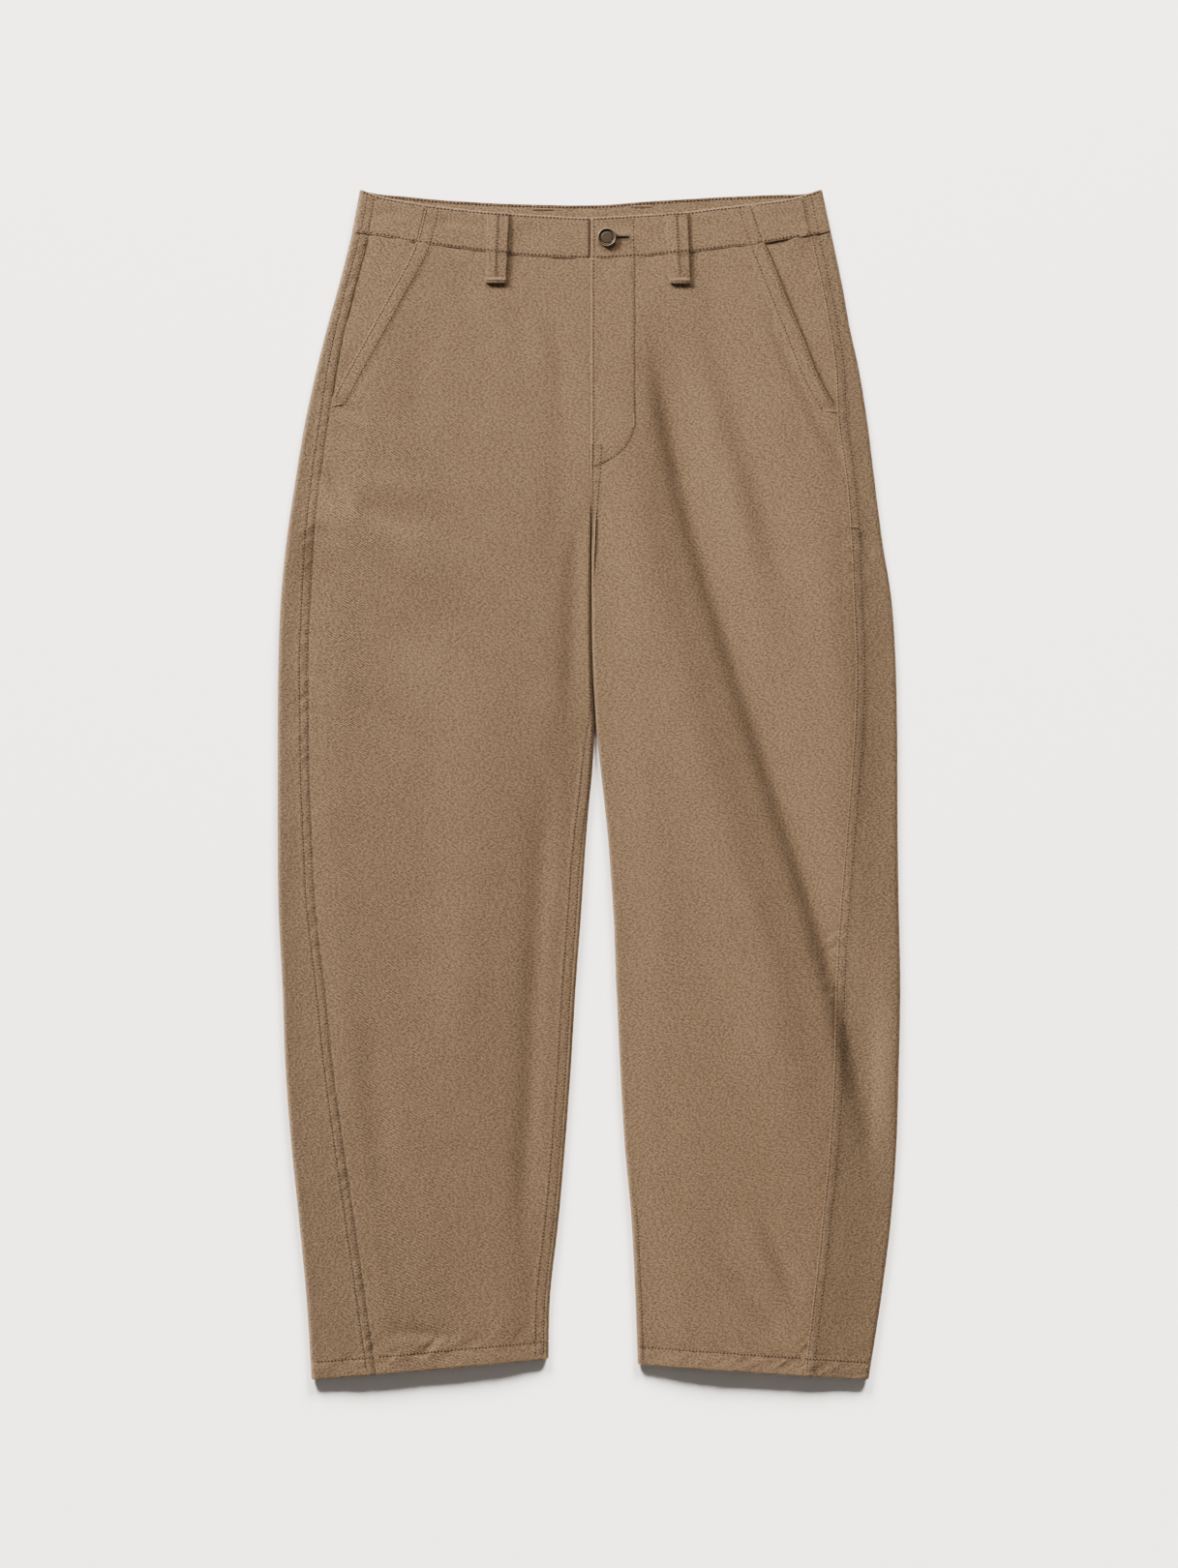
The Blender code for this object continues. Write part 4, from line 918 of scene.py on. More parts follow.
def back_look(leg):
    s = leg.side
    columns = []
    weights = []
    for past in (0.34, 0.24, 0.15, 0.08, 0.03):
        y = column_y(leg, lambda y: under_front(leg, y, past)[0], 0.0)
        u, z = under_front(leg, y, past)
        columns.append((u, y, z))
        weights.append(np.zeros_like(y))
    for q in np.linspace(1, 0, 10):
        turn = lambda y: back_turn(leg, y) * q
        u_of = lambda y: soft_inner(leg, y, turn(y), MAIN_FOLDS)[0]
        y = column_y(leg, u_of, 0.0)
        u, z = soft_inner(leg, y, turn(y), MAIN_FOLDS)
        columns.append((u, y, np.maximum(z, LIFT)))
        weights.append(turn(y) * 0.0)
    for q in np.linspace(0, 1, 43)[1:-1]:
        def u_of(y):
            a = leg.inner(y) + INNER_R
            return a + q * (leg.outer(y) - outer_round(y) - a)

        y = column_y(leg, u_of, 0.0)
        columns.append((u_of(y), y, np.full_like(y, LIFT)))
        weights.append(np.zeros_like(y))
    for turn in np.linspace(0, 1, 13):
        u_of = lambda y: outer_edge(leg, y, turn)[0]
        y = column_y(leg, u_of, turn)
        u, z = outer_edge(leg, y, turn)
        columns.append((u, y, LIFT + z * (1 - LIFT / (2 * outer_round(y)))))
        weights.append(np.full_like(y, max(0.0, 2 * turn - 1)))
    near = np.array([10.8, 9.8, 9.0, 8.3, 7.6, 6.9, 5.8, 4.4, 3.2, 2.2, 1.5, 0.9, 0.4, 0.0])
    edge = lambda y: leg.outseam(y) + LIP
    for kind, v in [("mid", q) for q in np.linspace(0, 1, 15)[1:-1]] + [("out", d) for d in near]:
        def u_of(y):
            a = leg.outer(y) - outer_round(y)
            reach = np.minimum(near[0], (a - edge(y)) * 0.93)
            return edge(y) + v * reach / near[0] if kind == "out" else a + v * (edge(y) + reach - a)

        y = column_y(leg, u_of, 1.0)
        u = u_of(y)
        columns.append((u, y, top_height(leg, u, y)))
        weights.append(np.ones_like(y))
    base = stack(columns)
    on_top = np.stack(weights, axis=1)
    u, y = base[..., 0], base[..., 1]
    x = s * u
    under = on_top == 0
    base[..., 2] += np.where(under, back_lift(x, y), 0.0)
    out = u - leg.outseam(y)
    beside = ease((y - leg.mouth_end) / 8.0)
    relief = on_top * (relief_top(leg, u, y) + (0.34 - 0.16 * beside) * (1 - ease((out - 8.4) / 2.6)) + furrow(out - 1.4) + furrow(out - 7.8))
    waist = front_base(x) - y
    waist_b = back_base(x) - y
    relief -= on_top * (0.12 * ease((2.5 - waist) / 2.5) + 1.6 * ease(-(waist + 0.4) / 2.0))
    relief -= (1 - on_top) * (0.25 * ease((2.5 - waist_b) / 2.5) + 1.3 * ease(-waist_b / 2.0))
    inn = u - leg.inner(y)
    flat = (1 - on_top) * ease((leg.outer(y) - u - 2.0) / 12.0) * np.maximum(ease((inn - 1.0) / 10.0), 0.25 * ease((y - 66.0) / 10))
    high = ease((y - 62.0) / 10.0)
    centre = 0.25 * bump(inn - 2.4, 0.8) + 0.25 * bump(inn - 9.5, 0.8)
    relief -= flat * relief_under(x, y) + (1 - on_top) * high * centre * (0.4 if s < 0 else 1.0)
    relief += on_top * hem_relief(leg, u, y)
    hem = y - leg.hem(u)
    relief -= (1 - on_top) * 0.25 * bump(hem - HEM_DEPTH, 0.8)
    # paler worn edges at the outseam and the hem's fold, the hem band a little paler, and painted shade at the foot of
    # the seam ridge
    tone = on_top * (0.30 * bump(out - 0.3, 0.8) - 0.03 * bump(out - 9.6, 1.6) + 0.05 * ease((HEM_DEPTH - hem) / 1.5)) + 0.10 * bump(hem, 1.2)
    sides = np.abs(leg.outer(y) - u)
    tone = tone + 0.03 * bump(sides, 3.0) * (on_top > 0)
    # painted light and shade beside the outseam: lighter where the puckers face the waist side, darker where they face
    # the hem
    tone = tone + 0.16 * on_top * (relief_top(leg, u, y) - relief_top(leg, u, y + 3.0)) * bump(out - 4.0, 6.0)
    grid = finish_grid(base, relief, None, lip(LIP, 4.0), None, lip(1.2, HEM_DEPTH, 7), False)
    grid[..., 2] = np.maximum(grid[..., 2], 0.02)
    full = pad_tone(tone, grid.shape[:2], 0, 7, 0, 8)
    return cloth_object("back_panel_" + leg.name, grid, s, TWILL, False, (s * 400.0, 0.0), full)


def facing_look(leg):
    """The ply in the pocket mouth, a little slack."""
    s = leg.side
    rows = np.concatenate([np.linspace(WAIST_NOMINAL + 14, leg.mouth_end - 14, 110)])
    inner = lambda y: leg.mouth(np.maximum(y, leg.mouth_end)) - 22.0
    outer = lambda y: leg.outseam(y) + 5.0
    grid = []
    for q in np.linspace(0, 1, 46):
        y = rows.copy()
        for _ in range(2):
            u = inner(y) + q * (outer(y) - inner(y))
            y = row_levels(leg, rows, u, 1.0)
        u = inner(y) + q * (outer(y) - inner(y))
        drop = 0.52 - 0.24 * ease((12.0 - (front_base(s * u) - y)) / 12.0)
        grid.append(np.stack([u, y, top_height(leg, u, y) - drop], axis=-1))
    base = np.stack(grid, axis=1)
    u, y = base[..., 0], base[..., 1]
    out = leg.outseam(y) - u
    relief = relief_top(leg, u, y) * 0.8 + 0.35 * noise(u / 14.0, y / 30.0, 4)
    relief -= 0.15 * ease((3.0 - out) / 3.0) + 1.3 * ease((-0.6 - out) / 2.0)
    waist = front_base(s * u) - y
    relief += 0.35 * bump(waist, 9.0) - 1.9 * ease(-(waist + 0.4) / 2.0)
    mouth = leg.front_edge(y) - u
    relief -= (0.35 if s < 0 else 0.8) * bump(mouth + (1.0 if s < 0 else 4.0), 7.0 if s < 0 else 9.0)
    relief -= 0.9 * ease((mouth - 0.5) / 2.5)
    # painted shade under the pocket mouth's edge and where the facing goes under at the outseam
    tone = -0.05 * bump(mouth, 3.0) - 0.04 * bump(out, 1.5)
    grid = finish_grid(base, relief, None, None, None, None, True)
    return cloth_object("pocket_facing_" + leg.name, grid, s, TWILL, True, (s * 90.0, 30.0), tone)


# ---------------------------------------------------------------------------
# Waistband
# ---------------------------------------------------------------------------
def band_surface(x, y):
    """Height of the front band's face."""
    x, y = np.broadcast_arrays(np.asarray(x, float), np.asarray(y, float))
    z = np.where(x >= CENTRE_X, top_height(LEFT, x, y), top_height(RIGHT, -x, y)) + 0.42
    return z


def band_relief(x, y):
    low, high = y - front_base(x), front_top(x) - y
    d = 0.30 * noise(x / 30.0, y / 16.0, 3) + 0.20 * noise(x / 11.0, y / 9.0, 6)
    for cx, cy, deep, rx, ry in BAND_DENTS:
        d = d - deep * np.exp(-(((x - cx) / rx) ** 2) - ((y - cy - 0.10 * (x - cx)) / ry) ** 2)
    d = d + furrow(low - 1.7) + furrow(high - 1.9)
    near_button = bump(np.hypot(x - BUTTON_X, y - BUTTON_Y), 13.0)
    d = d * (1 - 0.85 * near_button)
    d = d + 0.30 * noise(x / 5.0 + low * 0.08, low / 8.0, 8) * bump(low - 3.0, 5.0)
    d = d + 0.32 * noise(x / 5.6 - high * 0.08, high / 8.0 + 4, 9) * bump(high - 4.0, 6.0)
    for leg in (RIGHT, LEFT):
        for at, w in band_rows(leg):
            d = d + furrow(x - at(y)) * 0.8
    d = d + 0.35 * furrow(x - 38.6) + furrow(x - CENTRE_X - 2.4) * (x > CENTRE_X - 1)
    return d


def band_line(leg, which):
    """x of the pocket seam or the outseam where they cross the band, by y."""
    s = leg.side
    f = leg.mouth if which == "mouth" else leg.outseam
    return lambda y: s * f(y)


def band_rows(leg):
    """x of the upright rows of stitches on the band."""
    s = leg.side
    mouth, seam = band_line(leg, "mouth"), band_line(leg, "seam")
    return (
        (lambda y: mouth(y) - s * 1.6, 1),
        (lambda y: mouth(y) - s * 12.0, 1),
        (lambda y: seam(y) + s * 1.6, 1),
        (lambda y: seam(y) + s * 7.8, 0),
    )


def band_look(name, x_low, x_high, ends, drop=None, wide=1.3):
    """A front piece of the band. x_low and x_high give its ends by y; ends are their profiles."""
    shares = np.concatenate([np.linspace(0, 0.12, 6), np.linspace(0.15, 0.85, 20), np.linspace(0.88, 1, 6)])
    mid = 0.5 * (x_low(490.0) + x_high(490.0))
    count = max(12, int(abs(x_high(490.0) - x_low(490.0)) / wide))
    grid = np.zeros((len(shares), count, 3))
    for c, q in enumerate(np.linspace(0, 1, count)):
        y = np.full(len(shares), 490.0)
        for _ in range(3):
            x = x_low(y) + q * (x_high(y) - x_low(y))
            low, high = front_base(x) + 0.8, front_top(x) - 1.2
            y = low + shares * (high - low)
        grid[:, c, 0], grid[:, c, 1], grid[:, c, 2] = x, y, band_surface(x, y)
    x, y = grid[..., 0], grid[..., 1]
    if drop is not None:
        grid[..., 2] -= drop(x)
    relief = band_relief(x, y)
    low, high = y - front_base(x), front_top(x) - y
    # paler worn edges at the band's top and bottom, and painted shade along the lower row's furrow
    tone = 0.12 * bump(low, 0.9) + 0.20 * bump(high, 1.0) - 0.03 * bump(low - 1.7, 0.8)
    if name == "waistband_front_left":
        tone = tone + 0.22 * bump(x - CENTRE_X - 0.3, 0.9)
    # painted shade in the dents
    for cx, cy, deep, rx, ry in BAND_DENTS:
        tone = tone - 0.05 * deep * np.exp(-(((x - cx) / rx) ** 2) - ((y - cy - 0.10 * (x - cx)) / ry) ** 2)
    if name == "waistband_front_left":
        slit = to_line(x, y, ((BUTTON_X, BUTTON_Y), (SLIT_END - 1.0, BUTTON_Y - 0.4)))
        relief = relief - 1.5 * bump(slit, 0.9 + 0.9 * ease((26.0 - x) / 12.0)) + 0.30 * bump(slit - 3.0, 1.4)
        # painted shade in and round the slit
        tone = tone - 0.25 * bump(slit, 1.0)
    grid = finish_grid(grid[::-1], relief[::-1], ends[0], ends[1], lip(1.2, 31.0, 6), lip(0.75, 3.0, 5), True)
    full = pad_tone(tone[::-1], grid.shape[:2], len(ends[0]), len(ends[1]), 7, 6)
    return cloth_object(name, grid, 1, TWILL, True, (17.0, 5.0), full)


def band_back_look():
    """The back of the band from outseam to outseam, with its inner face, which shows above the front."""
    stations = []
    for side in (-1, 1):
        leg = RIGHT if side < 0 else LEFT
        part = [("top", leg, q) for q in np.linspace(0, 1, 12)]
        part += [("edge", leg, t) for t in np.linspace(1, 0, 13)[1:]]
        part += [("flat", leg, q) for q in np.linspace(1, 0, 68)[1:]]
        stations += part if side < 0 else part[::-1][1:]
    shares = np.concatenate([np.linspace(0, 0.12, 5), np.linspace(0.16, 0.84, 15), np.linspace(0.88, 1, 5)])
    grid = np.zeros((len(shares), len(stations), 3))
    tops = np.zeros(grid.shape[:2])
    for c, (kind, leg, q) in enumerate(stations):
        y = np.full(len(shares), 495.0)
        for _ in range(4):
            r = outer_round(y) + BAND_PROUD / 2
            if kind == "edge":
                u, z = outer_edge(leg, y, q, BAND_PROUD)
                on_top = q
                z = 0.1 + z * (1 - 0.1 / (2 * r))
            elif kind == "top":
                seam = leg.outseam(y) + 0.25
                u = seam + q * (leg.outer(y) - r - seam)
                on_top = 1.0
                z = top_height(leg, u, y) + BAND_PROUD
            else:
                u = q * (leg.outer(y) - r)
                on_top = 0.0
                z = 0.1 + back_lift(leg.side * u, y)
            x = leg.side * u
            low = front_base(x) * on_top + back_base(x) * (1 - on_top) + 0.8
            high = front_top(x) * on_top + back_top(x) * (1 - on_top) - 1.2
            y = low + shares * (high - low)
        grid[:, c, 0], grid[:, c, 1], grid[:, c, 2], tops[:, c] = x, y, z, on_top
    x, y = grid[..., 0], grid[..., 1]
    n = normals(grid)
    if n[:, len(stations) // 2, 2].mean() > 0:
        n = -n
    low = np.broadcast_to(shares[:, None] * (BACK_BAND - 2.0) + 0.8, x.shape)
    high = BACK_BAND - low
    under = tops == 0
    d_top = band_relief(x, y)
    d_under = -(0.12 + 0.12 * noise(x / 24.0, y / 14.0, 5) + 0.25 * bump(low - 1.7, 0.8) + 0.25 * bump(high - 1.9, 0.8))
    d = np.where(tops >= 0.5, d_top * (2 * tops - 1), np.where(under, d_under, d_under * (1 - 2 * tops)))
    outer = grid + n * d[..., None]
    outer[..., 2] = np.maximum(outer[..., 2], 0.02)
    thick = 2.3
    # inner face, with its own relief and the top row's furrow
    k = np.linspace(len(shares) - 1, 0, 16)
    pick = lambda a: np.stack([a[int(np.floor(i))] * (1 - (i % 1)) + a[min(int(np.floor(i)) + 1, len(a) - 1)] * (i % 1) for i in k])
    inner = pick(grid) - pick(n) * thick
    ix, ih = pick(x), pick(high)
    inner_d = 0.28 * noise(ix / 17.0, ih / 9.0 + 3, 7) + 0.22 * noise(ix / 6.0, ih / 7.0, 8) + furrow(ih - 2.2)
    inner = inner - pick(n) * inner_d[..., None]
    top_away = unit(grid[-1] - grid[-3])
    roll = np.stack([outer[-1] + top_away * (1.2 * np.sin(t)) - n[-1] * (thick / 2 * (1 - np.cos(t))) for t in np.linspace(0, np.pi, 8)[1:-1]])
    low_away = unit(grid[0] - grid[2])
    bottom = np.stack([outer[0] + low_away * (0.75 * np.sin(t)) - n[0] * (0.75 * (1 - np.cos(t))) for t in np.linspace(np.pi, 0, 6)[:-1]])
    whole = np.concatenate([bottom, outer, roll, inner], axis=0)
    whole[..., 2] = np.maximum(whole[..., 2], 0.02)
    tone = np.zeros(whole.shape[:2])
    a = len(bottom)
    tone[a:a + len(shares)] = 0.05 * bump(low, 1.0) + 0.06 * bump(high, 1.2)
    tone[a + len(shares):a + len(shares) + 6] = 0.08
    tone[a + len(shares) + 6:] = -0.02
    return cloth_object("waistband_back", whole, 1, TWILL, False, (3.0, 11.0), tone)


# ---------------------------------------------------------------------------
# Belt loops, fly, zip
# ---------------------------------------------------------------------------
def loop_look(name, x, lean, top_y, low_y, surface, proud, up=True, fold=True):
    """A strip with turned edges, a soft crown and a folded, bartacked end."""
    half = LOOP_WIDTH / 2
    qs = np.concatenate([np.linspace(0, 0.08, 5), np.linspace(0.11, 0.84, 34), np.linspace(0.86, 1, 10)])
    ws = np.concatenate([[-1.0, -0.985, -0.95, -0.88], np.linspace(-0.8, 0.8, 17), [0.88, 0.95, 0.985, 1.0]])
    q, w = np.meshgrid(qs, ws, indexing="ij")
    y = top_y + q * (low_y - top_y)
    squeeze = 1 - 0.07 * q
    at = x + lean * q + w * half * squeeze
    centre = x + lean * q
    z = surface(at, y)
    d = proud + 0.55 * np.sin(np.pi * np.clip(q, 0, 1)) - 0.28 * np.abs(w) ** 6
    d = d + 0.30 * bump(w * half, 4.6) - 0.20 * bump(w * half, 0.7)
    d = d + 0.12 * noise(at / 6.0, y / 8.0, 4) + 0.14 * noise(y / 4.0, w * 2 + x, 5) * (np.abs(w) > 0.75)
    if fold:
        end = (1 - q) * abs(low_y - top_y)
        d = d + 0.85 * bump(end - 1.4, 2.2) - 0.45 * bump(end - 5.0, 1.0)
    sign = 1 if up else -1
    grid = np.stack([at, y, z + sign * d], axis=-1)
    border = [(0.35 * np.sin(t), -0.95 * (1 - np.cos(t))) for t in np.linspace(0, np.pi, 6)[1:]] + [(-4.0, -1.9)]
    last = [(0.9 * np.sin(t), -1.25 * (1 - np.cos(t))) for t in np.linspace(0, np.pi, 7)[1:]] + [(-6.0, -2.5)]
    flat = np.zeros(grid.shape[:2])
    tone = 0.09 * bump((1 - np.abs(w)) * half, 0.7) - 0.04 * bump(np.abs(w * half) - 1.9, 0.5) + 0.03 * bump(w * half, 3.0)
    whole = finish_grid(grid, flat, border, border, border, last, up)
    if not up:
        whole[..., 2] = np.maximum(whole[..., 2], 0.02)
    full = pad_tone(tone, whole.shape[:2], 6, 6, 6, 7)
    return cloth_object(name, whole, 1, TWILL, up, (x, 3.0), full)


def strip_look(name, x_low, x_high, drop, low, mat):
    """A plain strip under the fly."""
    ys = np.linspace(WAIST_NOMINAL - 2, low, 90)
    xs = np.linspace(x_low, x_high, 20)
    y, x = np.meshgrid(ys, xs, indexing="ij")
    z = np.where(x >= CENTRE_X, top_height(LEFT, x, y), top_height(RIGHT, -x, y)) - drop
    grid = np.stack([x, y, z + 0.05 * noise(x / 9.0, y / 12.0, 3)], axis=-1)
    whole = finish_grid(grid, np.zeros(grid.shape[:2]), lip(0.3, 2.0, 3), lip(0.3, 2.0, 3), None, lip(0.3, 2.0, 3), True)
    return cloth_object(name, whole, 1, mat, True, (60.0, 60.0), None, stitchable=False)


# ---------------------------------------------------------------------------
# Threads, and the painted shade of the holes
# ---------------------------------------------------------------------------
TREES = {}
THREADS = {}           # object name -> list of (start, end, normal, radius)
# Dark discs of painted shade at the needle holes, by object name.
NEEDLE_HOLE_SHADES = {}            # object name -> list of (place, normal, radius, direction)


def tree(key, names):
    """One tree over the named surfaces."""
    if key not in TREES:
        verts, faces, base = [], [], 0
        for name in names:
            v, f = SURFACES[name]
            verts.append(v)
            faces.append(f + base)
            base += len(v)
        TREES[key] = BVHTree.FromPolygons(np.concatenate(verts).tolist(), np.concatenate(faces).tolist())
    return TREES[key]


def cast(points, up):
    """Places and normals on the cloth over or under these (x, y)."""
    top = Vector((0.0, 0.0, -1.0)) if up else Vector((0.0, 0.0, 1.0))
    places, n = [], []
    for x, y in points:
        hit = TREES["cloth"].ray_cast(Vector((x, y, 60.0 if up else -20.0)), top, 90.0)
        if hit[0] is None:
            places.append((x, y, np.nan))
            n.append((0.0, 0.0, 1.0 if up else -1.0))
        else:
            normal = hit[1] if (hit[1].z > 0) == up else -hit[1]
            places.append(tuple(hit[0]))
            n.append(tuple(normal))
    return np.array(places), np.array(n)


def walk(line, pitch, start=0.0):
    """Points along a polyline at a steady pitch."""
    line = np.asarray(line, float)
    step = np.linalg.norm(np.diff(line, axis=0), axis=1)
    s = np.concatenate([[0.0], np.cumsum(step)])
    count = max(1, int((s[-1] - start) / pitch))
    at = start + np.arange(count + 1) * pitch
    at = at[at <= s[-1] + 1e-6]
    return np.stack([np.interp(at, s, line[:, 0]), np.interp(at, s, line[:, 1])], axis=-1)


def sew(group, line, up=True, pitch=PITCH, gap=1.3, r=0.30, hole=0.72, seed=0):
    """A row of stitches along a line of (x, y)."""
    ends = walk(line, pitch)
    if len(ends) < 2:
        return
    rng = np.random.default_rng(len(THREADS.get(group, ())) + seed)
    d = unit(np.diff(ends, axis=0))
    side = np.stack([-d[:, 1], d[:, 0]], axis=-1)
    sway = rng.normal(0, 0.06, (len(d), 2))
    a = ends[:-1] + d * gap / 2 + side * sway[:, :1]
    b = ends[1:] - d * gap / 2 + side * sway[:, 1:]
    pa, na = cast(a, up)
    pb, nb = cast(b, up)
    ph, nh = cast(ends[:-1], up)
    for i in range(len(a)):
        if np.isnan(pa[i, 2]) or np.isnan(pb[i, 2]) or abs(pa[i, 2] - pb[i, 2]) > 1.6:
            continue
        THREADS.setdefault(group, []).append((pa[i], pb[i], unit(na[i] + nb[i]), r * rng.uniform(0.9, 1.1)))
    for i in range(len(ph)):
        # the needle holes' places, for their dark discs of painted shade
        if not np.isnan(ph[i, 2]):
            NEEDLE_HOLE_SHADES.setdefault(group, []).append((ph[i], nh[i], hole * rng.uniform(0.85, 1.12), (d[i, 0], d[i, 1], 0.0)))


def tack(group, a, b, wide=1.9, up=True, r=0.25, step=0.46):
    """A dense bar of stitches from a to b."""
    ends = walk((a, b), step)
    d = unit(np.asarray(b, float) - np.asarray(a, float))
    side = np.array((-d[1], d[0])) * wide / 2
    p, n = cast(ends, up)
    for i in range(len(ends)):
        if np.isnan(p[i, 2]):
            continue
        lift = n[i] * 0.16
        off = np.array((side[0], side[1], 0.0))
        off = off - n[i] * off.dot(n[i])
        THREADS.setdefault(group, []).append((p[i] - off + lift, p[i] + off + lift, n[i], r))


def build_threads(name, items, mat):
    p = np.array([i[0] for i in items])
    q = np.array([i[1] for i in items])
    n = np.array([i[2] for i in items])
    r = np.array([i[3] for i in items])
    along = unit(q - p)
    side = unit(np.cross(n, along))
    share = np.array([0.0, 0.17, 0.83, 1.0])
    high = np.array([-0.14, 0.20, 0.20, -0.14])
    fat = np.array([0.45, 1.0, 1.0, 0.45])
    a = np.linspace(0, 2 * np.pi, 6)[:-1] + 0.3
    centre = p[:, None] + (q - p)[:, None] * share[None, :, None] + n[:, None] * high[None, :, None]
    ring = (side[:, None, None] * np.cos(a)[None, None, :, None] + n[:, None, None] * np.sin(a)[None, None, :, None])
    verts = centre[:, :, None] + ring * (r[:, None] * fat[None])[:, :, None, None]
    count = len(items)
    verts = verts.reshape(-1, 3)
    verts[:, 2] = np.maximum(verts[:, 2], 0.01)
    base = np.arange(count)[:, None, None] * 20
    s = np.arange(3)[None, :, None] * 5
    k = np.arange(5)[None, None]
    k2 = (k + 1) % 5
    faces = np.stack([base + s + k, base + s + k2, base + s + 5 + k2, base + s + 5 + k], axis=-1).reshape(-1, 4)
    return mesh_object(name, verts, faces, mat)


# Dark discs a little above the cloth at the needle holes: painted shade.
def build_needle_hole_shades(name, items, mat):
    p = np.array([i[0] for i in items])
    n = np.array([i[1] for i in items])
    r = np.array([i[2] for i in items])
    u = unit(np.cross(np.array([i[3] for i in items]), n))
    v = np.cross(n, u)
    a = np.linspace(0, 2 * np.pi, 7)[:-1]
    verts = p[:, None] + n[:, None] * 0.15 + (0.8 * u[:, None] * np.cos(a)[None, :, None] + 1.15 * v[:, None] * np.sin(a)[None, :, None]) * r[:, None, None]
    verts[..., 2] = np.maximum(verts[..., 2], 0.01)
    base = np.arange(len(items))[:, None] * 6
    faces = np.concatenate([base + np.array([[0, 1, 2, 3]]), base + np.array([[0, 3, 4, 5]])], axis=0)
    return mesh_object(name, verts.reshape(-1, 3), faces, mat)


def leg_line(leg, u_of, y_high, y_low, step=6.0):
    y = np.arange(y_high, y_low, -step)
    y = np.append(y, y_low)
    return np.stack([leg.side * u_of(y), y], axis=-1)


def level_line(y_of, x0, x1, step=4.0):
    x = np.linspace(x0, x1, max(3, int(abs(x1 - x0) / step)))
    return np.stack([x, y_of(x)], axis=-1)


def lay_stitches():
    for leg in (RIGHT, LEFT):
        s = leg.side
        g = "stitches_leg_" + leg.name
        hem_y = lambda u: leg.hem(u) + 1.2
        low = float(leg.hem(leg.outseam(-512.0))) + 1.5
        for off in (1.4, 7.8):
            sew(g, leg_line(leg, lambda y: leg.outseam(y) + off, 481.0, low))
        for off in (1.6, 11.6):
            top_y = 475.0
            sew(g, leg_line(leg, lambda y: leg.mouth(y) - off * 1.09, top_y, leg.mouth_end + (1.0 if off < 5 else -2.0)))
        # hem
        for u0, u1 in ((leg.inner(-505.0) + 4.0, leg.outseam(-505.0) - 0.6), (leg.outseam(-505.0) + 0.8, leg.outer(-505.0) - 3.0)):
            u = np.linspace(u0, u1, 40)
            sew(g, np.stack([s * u, leg.hem(u) + HEM_DEPTH], axis=-1), hole=0.86)
        u = np.linspace(leg.inner(-505.0) + 4.0, leg.outer(-505.0) - 4.0, 50)
        sew("stitches_under", np.stack([s * u, leg.hem(u) + HEM_DEPTH], axis=-1), up=False)
        # inseam
        if s < 0:
            for off, high in ((lambda y: 2.4 + 0.0 * y, 68.0), (inseam_far, 88.0)):
                f = lambda y: soft_inner(leg, y, leg.seam_turn(y), MAIN_FOLDS)[0] + off(y)
                sew(g, leg_line(leg, f, high, float(leg.hem(leg.inner(-505.0) + 8)) + 1.5))
        else:
            sew(g, leg_line(leg, lambda y: leg.inner(y) + 5.2, -372.0, float(leg.hem(leg.inner(-505.0) + 6)) + 1.5))
    g = "stitches_front"
    # fly
    sew(g, J_LINE[:-1] + ((1.8, 277.0),), hole=0.66)
    sew(g, [(4.2, y) for y in np.linspace(458.0, 280.0, 30)])
    for which in (0, 1):
        y = np.linspace(297.0, 213.0, 24)
        sew(g, np.stack([crotch_row(y, which), y], axis=-1))
    sew(g, [(3.4, 265.2), (10.6, 265.2)], pitch=2.4)
    tack(g, (39.4, 323.5), (39.4, 313.0))
    tack(g, (5.0, 297.6), (9.6, 297.2), wide=1.6)
    tack(g, (-216.0, 333.2), (-225.4, 331.4))
    tack(g, (208.0, 327.2), (216.8, 326.4))
    tack(g, (229.0, 225.6), (235.0, 225.2), wide=1.7)
    # underside of the seat
    for x in (2.0 - 2.4, 2.0 - 9.5):
        sew("stitches_under", [(x + 0.0, y) for y in np.linspace(468.0, 70.0, 40)], up=False)
    for leg in (RIGHT, LEFT):
        y = np.linspace(40.0, -490.0, 60)
        if leg.side > 0:
            sew("stitches_under", np.stack([leg.inner(y) + 6.5, y], axis=-1), up=False)


